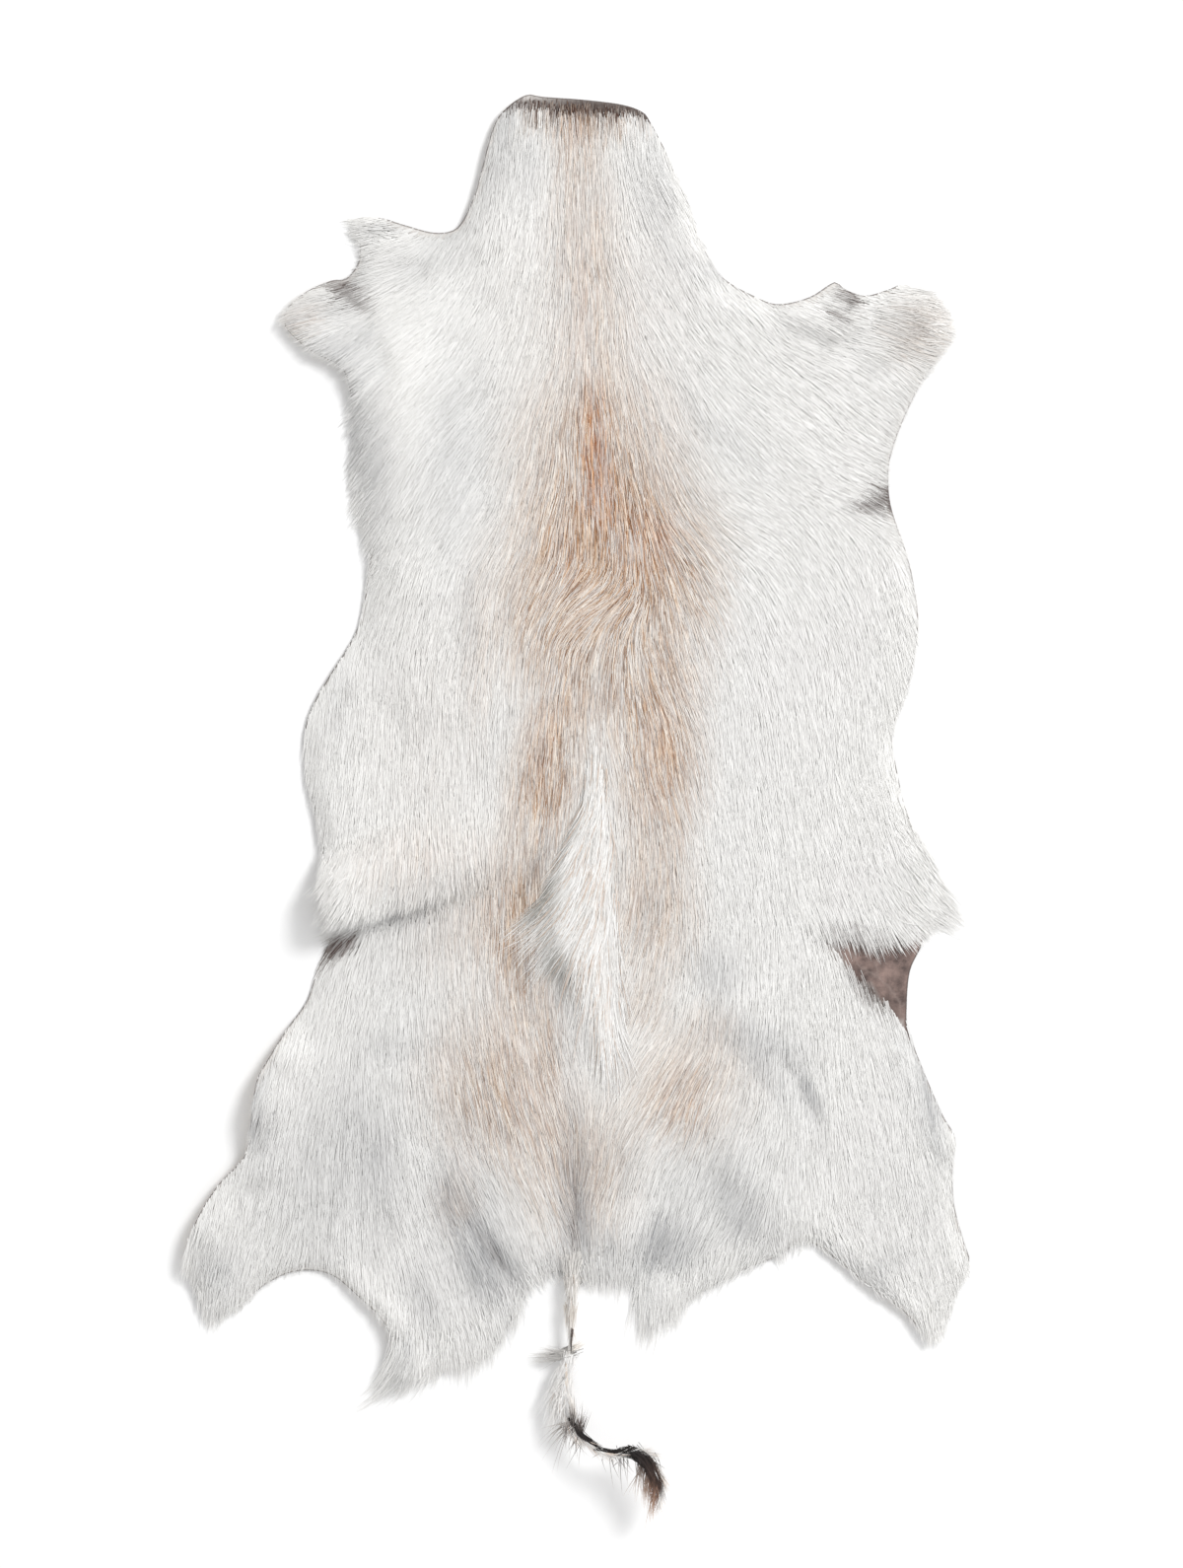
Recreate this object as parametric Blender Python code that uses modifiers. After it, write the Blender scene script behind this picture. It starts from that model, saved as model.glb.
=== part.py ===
"""Springbok hide: a tanned skin with its hair on, lying flat with the hair side up.

The tables are in millimetres and the mesh is in metres. +Y points to the neck, +Z up,
and the origin lies on the floor under the middle of the skin.
"""

import math
import random
from typing import NamedTuple

import bpy
import numpy as np
from mathutils import Vector, noise
from mathutils.geometry import delaunay_2d_cdt

MM = 0.001

# Thicknesses, from the underside of the leather to the top of the lying hair
EDGE_THICKNESS = 1.8
TIP_THICKNESS = 1.0
PILE = 6.5
LOCK_RIDGE = 4.2
THICKEST = 20.0

# The hair thins to the cut edge over this width
RIM_WIDTH = 17.0

# Spacing of the mesh along the cut edge, inside the skin and along a fold
EDGE_STEP = 12.5
GRID_STEP = 14.0
FOLD_STEP = 12.0

# Streaks in the lying hair: height, width across the hair and length along it
STREAK_HEIGHT = 1.3
STREAK_WIDTH = 24.0
STREAK_LENGTH = 80.0

# The cut edge of the skin, one row of x, y marks for each stretch, once round from the neck
CUT_EDGE = {
    "neck": ((1, 574), (-31, 576), (-45, 577), (-63, 564), (-72, 548)),
    "neck, left side": ((-82, 510), (-89, 489), (-100, 470), (-118, 466)),
    "left shoulder point": ((-142, 472), (-162, 478), (-178, 478), (-184, 464), (-184, 444)),
    "left foreleg": (
        (-190, 429), (-203, 427), (-224, 417), (-239, 403), (-240, 390), (-229, 377),
    ),
    "left armpit": ((-214, 366), (-195, 356), (-188, 339), (-186, 319), (-184, 298)),
    "left chest": ((-183, 269), (-180, 240), (-174, 218), (-171, 204), (-174, 180), (-179, 151)),
    "left flank": (
        (-190, 128), (-204, 106), (-216, 85), (-223, 66), (-223, 48), (-222, 22), (-215, -8),
    ),
    "left groin": ((-210, -40), (-206, -64), (-200, -86), (-204, -108), (-213, -129)),
    "left hip": (
        (-222, -156), (-237, -178), (-251, -200), (-262, -221), (-266, -249), (-271, -280),
    ),
    "left hind leg": (
        (-294, -306), (-311, -334), (-320, -360), (-318, -374), (-311, -393), (-301, -409),
        (-289, -411), (-273, -403), (-258, -389), (-237, -378), (-217, -376), (-199, -381),
    ),
    "left thigh": (
        (-181, -396), (-163, -413), (-153, -431), (-149, -449), (-143, -459), (-119, -456),
        (-92, -451), (-71, -438), (-56, -417), (-47, -397), (-34, -383), (-17, -377),
    ),
    "right thigh": (
        (9, -380), (24, -385), (40, -383), (51, -394), (66, -406), (85, -401), (104, -390),
        (135, -374), (161, -365), (181, -355), (206, -370), (232, -392), (262, -413),
    ),
    "right hind leg": (
        (277, -427), (288, -427), (297, -414), (308, -385), (316, -369), (311, -352),
        (303, -321), (302, -288), (304, -268), (293, -248), (276, -208), (266, -180),
    ),
    "right groin": (
        (265, -162), (268, -133), (277, -114), (284, -96), (289, -76), (288, -56), (281, -35),
    ),
    "right flank": (
        (266, -7), (257, 28), (253, 59), (261, 85), (268, 106), (274, 147), (271, 177),
    ),
    "right armpit": ((265, 204), (252, 244), (250, 271), (253, 289), (262, 314), (275, 341)),
    "right foreleg": (
        (282, 351), (295, 372), (299, 388), (285, 413), (263, 424), (250, 420), (231, 415),
    ),
    "right shoulder": ((214, 420), (206, 426), (186, 414), (162, 408), (142, 414), (112, 433)),
    "neck, right side": ((94, 469), (83, 500), (71, 528), (57, 555), (50, 564), (33, 570)),
}
TAIL_ROOT_AFTER = "left thigh"


class Fringe(NamedTuple):
    """Locks of hair along the cut edge between two marks, all swept one way."""

    start: tuple
    end: tuple
    length: float
    pitch: float
    sweep: tuple


FRINGES = {
    "shoulder point": Fringe((-162, 478), (-184, 458), 15, 8, (-1.0, 0.15)),
    "left foreleg": Fringe((-239, 403), (-214, 366), 6, 9, (-0.8, -0.5)),
    "left armpit": Fringe((-188, 339), (-174, 218), 14, 10, (-0.75, -0.65)),
    "left groin": Fringe((-210, -40), (-200, -86), 10, 8, (-0.85, -0.6)),
    "left groin, dark": Fringe((-202, -98), (-213, -129), 8, 8, (-1.0, -0.1)),
    "left hind foot": Fringe((-311, -393), (-289, -411), 18, 8, (-0.15, -1.0)),
    "left thigh corner": Fringe((-149, -449), (-119, -456), 34, 9, (-0.55, -0.95)),
    "left thigh": Fringe((-117, -456), (-47, -397), 19, 9, (0.12, -1.0)),
    "tail root, left": Fringe((-47, -397), (-20, -378), 9, 7, (0.1, -1.0)),
    "tail root, right": Fringe((12, -381), (42, -384), 12, 7, (-0.05, -1.0)),
    "rump tuft": Fringe((46, -388), (85, -401), 30, 9, (0.12, -1.0)),
    "right thigh": Fringe((87, -400), (176, -357), 11, 9, (0.25, -1.0)),
    "right hind leg, inside": Fringe((190, -360), (270, -420), 9, 9, (-0.35, -1.0)),
    "right hind foot": Fringe((275, -426), (297, -414), 12, 7, (0.2, -1.0)),
    "right hind hock": Fringe((308, -385), (312, -356), 4, 9, (0.8, -0.6)),
    "right groin": Fringe((282, -101), (288, -52), 24, 9, (0.62, -0.78)),
    "right flank": Fringe((284, -44), (262, 4), 9, 10, (0.85, -0.5)),
    "right foreleg": Fringe((295, 372), (272, 420), 7, 8, (1.0, 0.1)),
}


class TailStation(NamedTuple):
    """One place along the middle of the tail."""

    x: float
    y: float
    half_width: float
    lift: float
    thickness: float


TAIL = (
    TailStation(-5, -392, 8.0, 0, 7.0),
    TailStation(-7, -410, 6.0, 0, 6.5),
    TailStation(-8, -426, 3.6, 0, 5.5),
    TailStation(-10, -437, 4.5, 0, 6.0),
    TailStation(-13, -450, 9.5, 0, 8.5),
    TailStation(-17, -464, 12.5, 0, 10.0),
    TailStation(-18, -477, 12.5, 1, 10.0),
    TailStation(-14, -491, 11.0, 5, 9.5),
    TailStation(-7, -502, 8.0, 12, 8.5),
    TailStation(3, -511, 6.0, 19, 7.0),
    TailStation(14, -518, 4.5, 25, 6.0),
    TailStation(26, -521, 4.0, 29, 5.5),
    TailStation(39, -518, 4.0, 31, 5.5),
    TailStation(51, -520, 4.8, 31, 6.5),
    TailStation(60, -530, 6.2, 30, 7.5),
    TailStation(65, -543, 6.6, 29, 7.5),
    TailStation(64, -556, 6.0, 28, 6.5),
    TailStation(60, -567, 3.6, 27, 4.0),
)
TAIL_TIP = (57, -577)


class TailLock(NamedTuple):
    """A lock on the tail: its station, its side (-1 is the right of the way down) and its tip."""

    station: int
    side: int
    tip: tuple


TAIL_LOCKS = (
    TailLock(3, -1, (-43, -446)),
    TailLock(3, 1, (3, -438)),
    TailLock(5, -1, (-39, -480)),
    TailLock(6, -1, (-36, -493)),
    TailLock(7, -1, (-27, -506)),
    TailLock(8, -1, (-21, -517)),
    TailLock(9, -1, (-12, -524)),
    TailLock(11, -1, (22, -535)),
    TailLock(15, -1, (44, -558)),
    TailLock(16, -1, (45, -571)),
    TailLock(16, 1, (72, -570)),
)


class Ridge(NamedTuple):
    """A line of x, y, height marks. The height falls to nothing at the reach on each side."""

    line: tuple
    reach_left: float
    reach_right: float


# Where the whole skin is off the floor. Left and right are as seen along the line
FOLDS = {
    "flank fold": Ridge(
        ((-224, -68, 26), (-186, -62, 24), (-150, -54, 18), (-104, -40, 10), (-54, -24, 3)), 48, 30,
    ),
    "left hip": Ridge(((-254, -204, 9), (-266, -236, 16), (-273, -276, 10)), 46, 46),
    "left hind foot": Ridge(((-304, -322, 9), (-318, -352, 14), (-321, -382, 12)), 46, 46),
    "left hind leg, inside": Ridge(((-190, -388, 4), (-158, -422, 8), (-146, -458, 9)), 26, 26),
    "left flank": Ridge(((-220, 92, 5), (-226, 50, 10), (-218, -2, 11)), 44, 44),
    "left armpit": Ridge(((-188, 330, 5), (-184, 270, 7), (-178, 222, 4)), 30, 30),
    "left foreleg": Ridge(((-228, 422, 6), (-244, 396, 14), (-214, 362, 11), (-194, 346, 6)), 34, 34),
    "neck, left side": Ridge(((-62, 566, 6), (-78, 528, 9), (-92, 482, 6)), 30, 30),
    "right hind leg, inside": Ridge(((200, -366, 3), (240, -398, 5), (280, -430, 6)), 26, 26),
    "right foreleg crease": Ridge(((170, 402, 4), (194, 391, 7), (222, 395, 5)), 15, 15),
}

# Where the hair is deeper, or less deep, while the underside stays where it is
SWELLS = {
    "upper back": Ridge(((0, 300, 1.5), (10, 60, 2.5)), 90, 90),
    "left shoulder": Ridge(((-120, 400, 1.5), (-110, 250, 1.5)), 60, 60),
    "right shoulder": Ridge(((130, 370, 1.5), (150, 250, 1.5)), 60, 60),
    "rump, left": Ridge(((-50, -225, 3), (-44, -345, 2.5)), 34, 34),
    "rump, right": Ridge(((46, -225, 3), (34, -345, 2.5)), 34, 34),
    "middle crease": Ridge(((-12, -200, -1.5), (-5, -290, -4), (-3, -377, -4.5)), 12, 12),
    "flank valley": Ridge(((-190, -100, -3), (-128, -86, -3), (-66, -57, -1.5)), 16, 16),
    "left thigh valley": Ridge(((-150, -250, -2), (-164, -290, -3), (-178, -334, -2)), 28, 28),
    "left rump valley": Ridge(((-90, -330, -2), (-66, -362, -3.5), (-44, -392, -2)), 24, 24),
    "right rump valley": Ridge(((116, -310, -2), (84, -352, -3.5), (52, -388, -2)), 28, 28),
    "right hip valley": Ridge(((182, -213, -2), (196, -254, -2.5)), 13, 13),
    "left forearm valley": Ridge(((-200, 418, -2), (-166, 398, -2.5)), 12, 12),
    "breast valley": Ridge(((112, 330, -1), (138, 286, -2.5), (170, 254, -1)), 26, 26),
}

# The fan of long hair along the back: its middle line, with how far its locks splay each way
FAN_HEIGHT = 6.5
FAN_LOCK_HEIGHT = 1.8
FAN_LOCK_REACH = 8.0


class FanStation(NamedTuple):
    """One place along the middle of the fan."""

    x: float
    y: float
    left: float
    right: float


FAN = (
    FanStation(18, 52, 0, 0),
    FanStation(16, 14, 12, 14),
    FanStation(10, -26, 22, 16),
    FanStation(4, -66, 34, 22),
    FanStation(0, -106, 44, 24),
    FanStation(3, -146, 20, 22),
    FanStation(6, -186, 15, 19),
    FanStation(8, -226, 18, 18),
    FanStation(6, -288, 3, 3),
)
FAN_FALL = 34.0


def fan_ridges() -> list:
    """The fan's broad back and its locks, which fall away from the middle to both sides."""
    peaks = [0.3, 0.7, 1.0, 1.0, 1.0, 0.9, 0.8, 0.6, 0.2]
    back = tuple((s.x, s.y, FAN_HEIGHT * peak) for s, peak in zip(FAN, peaks))
    ridges = [Ridge(back, 36, 24)]
    for upper, lower in zip(FAN[1:], FAN[2:]):
        for side, splay in ((-1, lower.left), (1, lower.right)):
            tip = (lower.x + side * splay, lower.y - FAN_FALL / 2)
            root = (upper.x, upper.y)
            ridges.append(Ridge(((*root, 0.0), (*tip, FAN_LOCK_HEIGHT)), FAN_LOCK_REACH, FAN_LOCK_REACH))
    return ridges


# Coat colours as linear RGB, and the places where the coat isn't white
WHITE_COAT = (0.79, 0.77, 0.75)
FAWN_COAT = (0.56, 0.37, 0.25)
BARE_LEATHER = (0.075, 0.055, 0.048)


class Patch(NamedTuple):
    """An ellipse on the skin, in plan."""

    x: float
    y: float
    half_width: float
    half_length: float


FAWN_PATCHES = (
    Patch(8, 210, 38, 370), Patch(12, 250, 70, 90), Patch(20, 140, 92, 110),
    Patch(-32, 40, 34, 90), Patch(66, 50, 34, 100), Patch(-62, -180, 46, 110),
    Patch(70, -170, 46, 90),
)
FAN_PATCHES = (Patch(4, -90, 28, 120), Patch(6, -220, 18, 90))
BARE_PATCHES = (
    Patch(252, -138, 24, 22), Patch(268, -120, 14, 12), Patch(-196, -106, 18, 12),
    Patch(240, 254, 12, 14), Patch(-205, 418, 20, 10), Patch(0, 578, 52, 10),
)


def clear_scene() -> None:
    """Removes what the scene starts with."""
    for obj in list(bpy.data.objects):
        bpy.data.objects.remove(obj, do_unlink=True)


def smooth_step(value):
    """Rises from 0 to 1 with level ends."""
    t = np.clip(value, 0.0, 1.0)
    return t * t * (3.0 - 2.0 * t)


def along_line(points: np.ndarray, start, end) -> tuple:
    """Share of the way along a line, distance from it and side (1 is left) of each point."""
    a = np.asarray(start, float)
    run = np.asarray(end, float) - a
    offset = points - a
    share = np.clip(offset @ run / (run @ run), 0.0, 1.0)
    distance = np.linalg.norm(offset - share[:, None] * run, axis=1)
    side = np.sign(run[0] * offset[:, 1] - run[1] * offset[:, 0])
    return share, distance, side


def ridge_height(points: np.ndarray, ridge: Ridge) -> np.ndarray:
    """Height of one ridge: greatest on its line, level and nothing at its reach."""
    nearest = np.full(len(points), np.inf)
    found = np.zeros(len(points))
    for (ax, ay, a_height), (bx, by, b_height) in zip(ridge.line, ridge.line[1:]):
        share, distance, side = along_line(points, (ax, ay), (bx, by))
        reach = np.where(side >= 0, ridge.reach_left, ridge.reach_right)
        height = a_height + share * (b_height - a_height)
        height = height * (1.0 - np.clip(distance / reach, 0.0, 1.0) ** 2) ** 2
        found = np.where(distance < nearest, height, found)
        nearest = np.minimum(nearest, distance)
    return found


def skin_lift(points: np.ndarray) -> np.ndarray:
    """Height of the underside over the floor, which is exactly nothing away from the folds."""
    heights = [ridge_height(points, fold) for fold in FOLDS.values()]
    return np.max(heights, axis=0)


def distance_to_edge(points: np.ndarray, edge: np.ndarray) -> np.ndarray:
    """Distance of each point from a closed outline."""
    nearest = np.full(len(points), np.inf)
    for a, b in zip(edge, np.roll(edge, -1, axis=0)):
        nearest = np.minimum(nearest, along_line(points, a, b)[1])
    return nearest


def streaks(points: np.ndarray) -> np.ndarray:
    """Long soft lumps that run with the hair, down the back."""
    return np.array([
        STREAK_HEIGHT * noise.noise(Vector((x / STREAK_WIDTH, y / STREAK_LENGTH, 0.0)))
        for x, y in points
    ])


def pile_thickness(points: np.ndarray, edge: np.ndarray) -> np.ndarray:
    """Thickness of leather and hair: thin at the cut edge, full over the body."""
    full = PILE + streaks(points)
    for swell in [*SWELLS.values(), *fan_ridges()]:
        full = full + ridge_height(points, swell)
    share = smooth_step(distance_to_edge(points, edge) / RIM_WIDTH)
    return EDGE_THICKNESS + share * (full - EDGE_THICKNESS)


def spline_through(marks: list) -> list:
    """A smooth open line through the marks, with a point about every EDGE_STEP."""
    points = [np.asarray(mark, float) for mark in marks]
    ends = [2 * points[0] - points[1]] + points + [2 * points[-1] - points[-2]]
    line = []
    for before, a, b, after in zip(ends, ends[1:], ends[2:], ends[3:]):
        count = max(1, round(float(np.linalg.norm(b - a)) / EDGE_STEP))
        for step in range(count):
            t = step / count
            curve = 0.5 * (
                2 * a + (b - before) * t
                + (2 * before - 5 * a + 4 * b - after) * t ** 2
                + (3 * a - before - 3 * b + after) * t ** 3
            )
            line.append(curve)
    line.append(points[-1])
    return line


def nearest_index(line: list, place: tuple) -> int:
    """Index of the point of a line that is nearest to a place."""
    gaps = [np.linalg.norm(point - np.asarray(place, float)) for point in line]
    return int(np.argmin(gaps))


def resampled(line: list, pitch: float) -> list:
    """The same line with evenly spaced points, about a pitch apart."""
    steps = np.linalg.norm(np.diff(line, axis=0), axis=1)
    reached = np.concatenate([[0.0], np.cumsum(steps)])
    count = max(2, round(reached[-1] / pitch))
    places = np.linspace(0.0, reached[-1], count + 1)
    columns = [np.interp(places, reached, [p[axis] for p in line]) for axis in (0, 1)]
    return [np.array(pair) for pair in zip(*columns)]


def add_fringe(line: list, fringe: Fringe, rng: random.Random) -> tuple:
    """Puts locks along a stretch of the edge; gives the new line, the tips and the ridges."""
    first = nearest_index(line, fringe.start)
    last = nearest_index(line, fringe.end)
    roots = resampled(line[first:last + 1], fringe.pitch)
    sweep = np.asarray(fringe.sweep, float)
    sweep = sweep / np.linalg.norm(sweep)
    stretch, tips, ridges = [roots[0]], [], []
    for a, b in zip(roots, roots[1:]):
        length = fringe.length * rng.uniform(0.62, 1.2)
        bend = np.array([-sweep[1], sweep[0]]) * fringe.pitch * rng.uniform(-0.25, 0.25)
        middle = (a + b) / 2
        tip = middle + sweep * length + bend
        stretch += [tip, b]
        tips.append(tip)
        ridges.append(middle + 0.3 * sweep * length)
    return line[:first] + stretch + line[last + 1:], tips, ridges


def tail_sides() -> tuple:
    """The two sides of the tail, both from the root to the tip."""
    middle = np.array([(s.x, s.y) for s in TAIL], float)
    along = np.gradient(middle, axis=0)
    along = along / np.linalg.norm(along, axis=1)[:, None]
    across = np.stack([along[:, 1], -along[:, 0]], axis=1)
    widths = np.array([s.half_width for s in TAIL])[:, None]
    return middle + across * widths, middle - across * widths


def tail_outline() -> tuple:
    """The tail's edge down one side and up the other, and the tips of its locks."""
    sides = dict(zip((-1, 1), tail_sides()))
    edges, tips = {}, []
    for side, points in sides.items():
        edge = []
        for index, point in enumerate(points):
            edge.append(point)
            for lock in TAIL_LOCKS:
                if (lock.station, lock.side) == (index, side):
                    tip = np.asarray(lock.tip, float)
                    edge.append(tip)
                    tips.append(tip)
        edges[side] = edge
    end = np.asarray(TAIL_TIP, float)
    return edges[-1] + [end] + edges[1][::-1], tips + [end]


def tail_heights(points: np.ndarray) -> tuple:
    """Lift and distance from the tail's middle line, for points on or beside the tail."""
    best = np.full(len(points), np.inf)
    lift = np.zeros(len(points))
    for upper, lower in zip(TAIL, TAIL[1:]):
        share, distance, _ = along_line(points, (upper.x, upper.y), (lower.x, lower.y))
        nearer = distance < best
        best = np.where(nearer, distance, best)
        lift = np.where(nearer, upper.lift + share * (lower.lift - upper.lift), lift)
    return lift, best


def on_tail(points: np.ndarray) -> np.ndarray:
    """True for the points of the tail and its locks."""
    _, distance = tail_heights(points)
    return (points[:, 1] < TAIL[0].y - 8) & (distance < 32)


def grid_points(edge: np.ndarray) -> np.ndarray:
    """Staggered rows of points over the box of the outline."""
    low, high = edge.min(axis=0), edge.max(axis=0)
    rows = []
    row_step = GRID_STEP * math.sqrt(3) / 2
    for row in range(int((high[1] - low[1]) / row_step) + 1):
        start = low[0] + (row % 2) * GRID_STEP / 2
        xs = np.arange(start, high[0], GRID_STEP)
        rows.append(np.stack([xs, np.full(len(xs), low[1] + row * row_step)], axis=1))
    return np.concatenate(rows)


def inside(points: np.ndarray, edge: np.ndarray) -> np.ndarray:
    """True for the points inside a closed outline."""
    found = np.zeros(len(points), bool)
    for (ax, ay), (bx, by) in zip(edge, np.roll(edge, -1, axis=0)):
        crosses = (ay > points[:, 1]) != (by > points[:, 1])
        with np.errstate(divide="ignore", invalid="ignore"):
            at_x = ax + (points[:, 1] - ay) * (bx - ax) / (by - ay)
        found ^= crosses & (points[:, 0] < at_x)
    return found


def fold_points() -> np.ndarray:
    """Points along the line of each ridge, and halfway to the reach of a narrow one."""
    points = []
    for ridge in [*FOLDS.values(), *SWELLS.values(), *fan_ridges()]:
        for start, end in zip(ridge.line, ridge.line[1:]):
            a, b = np.array(start[:2], float), np.array(end[:2], float)
            run = b - a
            left = np.array([-run[1], run[0]]) / np.linalg.norm(run)
            count = max(1, round(float(np.linalg.norm(run)) / FOLD_STEP))
            for share in np.linspace(0.0, 1.0, count + 1):
                on_line = a + share * run
                points.append(on_line)
                if 2 * FAN_LOCK_REACH < ridge.reach_left < 2 * GRID_STEP:
                    points.append(on_line + left * ridge.reach_left / 2)
                    points.append(on_line - left * ridge.reach_right / 2)
    return np.array(points)


def thinned(points: np.ndarray, kept: list, gap: float) -> list:
    """The points that lie a gap apart from those kept and from each other."""
    kept = [np.asarray(point) for point in kept]
    added = []
    for point in points:
        if np.min(np.linalg.norm(np.array(kept) - point, axis=1)) >= gap:
            kept.append(point)
            added.append(point)
    return added


def outline() -> tuple:
    """The whole rim with its locks, the plain cut edge, the lock tips and the ridge points."""
    rng = random.Random(4)
    names = list(CUT_EDGE)
    split = names.index(TAIL_ROOT_AFTER) + 1
    left = spline_through([mark for name in names[:split] for mark in CUT_EDGE[name]])
    first_mark = CUT_EDGE[names[0]][0]
    right = spline_through(
        [mark for name in names[split:] for mark in CUT_EDGE[name]] + [first_mark]
    )[:-1]
    cut_edge = np.array(left + right)
    tips, ridges = [], []
    for fringe in FRINGES.values():
        on_left = fringe.start[0] < 0
        line, new_tips, new_ridges = add_fringe(left if on_left else right, fringe, rng)
        left, right = (line, right) if on_left else (left, line)
        tips += new_tips
        ridges += new_ridges
    tail, tail_tips = tail_outline()
    return np.array(left + tail + right), cut_edge, tips + tail_tips, ridges


def skin_points() -> tuple:
    """Plan positions, lift and thickness of every point, the rim's points first."""
    rim, cut_edge, tips, ridges = outline()
    tail_middle = [np.array((s.x, s.y), float) for s in TAIL[1:-1]]
    special = ridges + tail_middle
    body = np.concatenate([fold_points(), grid_points(cut_edge)])
    body = body[inside(body, cut_edge)]
    body = body[distance_to_edge(body, cut_edge) > GRID_STEP * 0.42]
    inner = thinned(body, [*rim, *special], GRID_STEP * 0.55)
    points = np.array([*rim, *special, *inner])

    lift = skin_lift(points)
    thickness = pile_thickness(points, cut_edge)
    tail = on_tail(points)
    tail_lift, _ = tail_heights(points)
    lift = np.where(tail, tail_lift, lift)
    thickness[:len(rim)] = EDGE_THICKNESS
    thickness[len(rim):len(rim) + len(ridges)] = LOCK_RIDGE
    tail_first = len(rim) + len(ridges)
    thickness[tail_first:tail_first + len(tail_middle)] = [s.thickness for s in TAIL[1:-1]]
    tip_rows = {tuple(tip) for tip in tips}
    is_tip = np.array([tuple(point) in tip_rows for point in points])
    thickness[is_tip] = TIP_THICKNESS
    return points, lift, thickness, len(rim)


def make_material(name: str, colour: tuple, roughness: float) -> bpy.types.Material:
    """A plain Principled material."""
    material = bpy.data.materials.new(name)
    material.use_nodes = True
    shader = material.node_tree.nodes["Principled BSDF"]
    shader.inputs["Base Color"].default_value = (*colour, 1.0)
    shader.inputs["Roughness"].default_value = roughness
    shader.inputs["Metallic"].default_value = 0.0
    material.diffuse_color = (*colour, 1.0)
    return material


def in_patches(x: float, y: float, patches: tuple) -> bool:
    """True where a place is on one of the ellipses."""
    return any(
        ((x - p.x) / p.half_width) ** 2 + ((y - p.y) / p.half_length) ** 2 < 1.0
        for p in patches
    )


def coat_index(x: float, y: float) -> int:
    """Which of the three coat materials a place has."""
    if in_patches(x, y, BARE_PATCHES):
        return 2
    if in_patches(x, y, FAN_PATCHES):
        return 0
    return 1 if in_patches(x, y, FAWN_PATCHES) else 0


def make_skin_sheet() -> bpy.types.Object:
    """The underside as an open sheet, with the thickness above it as a vertex group."""
    points, lift, thickness, rim_count = skin_points()
    plan = [Vector(point) for point in points]
    result = delaunay_2d_cdt(plan, [], [list(range(rim_count))], 1, 1e-6)
    corners, faces, sources = result[0], result[2], result[3]
    # Each corner of the triangulation is one of the points given to it
    source = [group[0] for group in sources]
    vertices = [
        (corner.x * MM, corner.y * MM, lift[index] * MM)
        for corner, index in zip(corners, source)
    ]
    mesh = bpy.data.meshes.new("hide")
    mesh.from_pydata(vertices, [], faces)
    obj = bpy.data.objects.new("hide", mesh)
    group = obj.vertex_groups.new(name="thickness")
    for vertex, index in enumerate(source):
        group.add([vertex], float(thickness[index] / THICKEST), "REPLACE")
    for material in (
        make_material("white_coat", WHITE_COAT, 0.75),
        make_material("fawn_coat", FAWN_COAT, 0.75),
        make_material("bare_leather", BARE_LEATHER, 0.6),
    ):
        mesh.materials.append(material)
    for face in mesh.polygons:
        face.material_index = coat_index(face.center.x / MM, face.center.y / MM)
    return obj


def add_thickness(sheet: bpy.types.Object) -> None:
    """Builds the leather and the lying hair up from the underside."""
    solidify = sheet.modifiers.new("leather_and_hair", "SOLIDIFY")
    solidify.thickness = THICKEST * MM
    solidify.offset = 1.0
    solidify.vertex_group = "thickness"
    solidify.use_rim = True
    solidify.use_even_offset = False


def main() -> None:
    """Builds the hide in a collection of its own."""
    clear_scene()
    collection = bpy.data.collections.new("springbok_hide")
    bpy.context.scene.collection.children.link(collection)
    hide = make_skin_sheet()
    collection.objects.link(hide)
    add_thickness(hide)
    hide.data.shade_smooth()


main()
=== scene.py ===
"""Springbok hide, hair side up: leather, under-hair, lying coat, back fan, fringes and tail."""

import logging
import math
from dataclasses import dataclass, field
from enum import Enum
from typing import NamedTuple

import bpy
import numpy as np
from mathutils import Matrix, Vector
from mathutils.geometry import delaunay_2d_cdt


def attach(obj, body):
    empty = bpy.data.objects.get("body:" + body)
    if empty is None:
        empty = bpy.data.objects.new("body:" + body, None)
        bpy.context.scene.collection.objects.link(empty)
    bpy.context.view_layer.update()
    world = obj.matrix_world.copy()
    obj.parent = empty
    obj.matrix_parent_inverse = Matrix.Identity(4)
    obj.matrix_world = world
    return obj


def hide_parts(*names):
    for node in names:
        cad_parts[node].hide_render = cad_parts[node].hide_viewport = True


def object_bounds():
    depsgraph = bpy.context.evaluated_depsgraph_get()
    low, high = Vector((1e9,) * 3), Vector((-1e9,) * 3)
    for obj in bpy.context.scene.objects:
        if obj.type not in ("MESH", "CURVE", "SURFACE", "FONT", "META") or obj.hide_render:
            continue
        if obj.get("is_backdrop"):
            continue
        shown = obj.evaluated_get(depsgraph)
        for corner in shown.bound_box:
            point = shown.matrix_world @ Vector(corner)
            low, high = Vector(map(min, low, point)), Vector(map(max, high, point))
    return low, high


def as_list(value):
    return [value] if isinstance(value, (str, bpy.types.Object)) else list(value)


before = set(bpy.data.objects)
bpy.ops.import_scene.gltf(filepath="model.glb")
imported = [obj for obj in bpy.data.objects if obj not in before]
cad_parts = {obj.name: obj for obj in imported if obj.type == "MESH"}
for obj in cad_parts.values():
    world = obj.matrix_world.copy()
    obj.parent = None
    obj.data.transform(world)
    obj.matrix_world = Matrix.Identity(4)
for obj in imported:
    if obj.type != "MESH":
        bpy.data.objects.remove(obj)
CAD_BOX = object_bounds()

log = logging.getLogger("springbok_hide")

# The tables are in millimetres, as a maker would measure the skin, and the meshes in metres
MM = 0.001
NODE = "hide"
BODY = "root"

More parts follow.
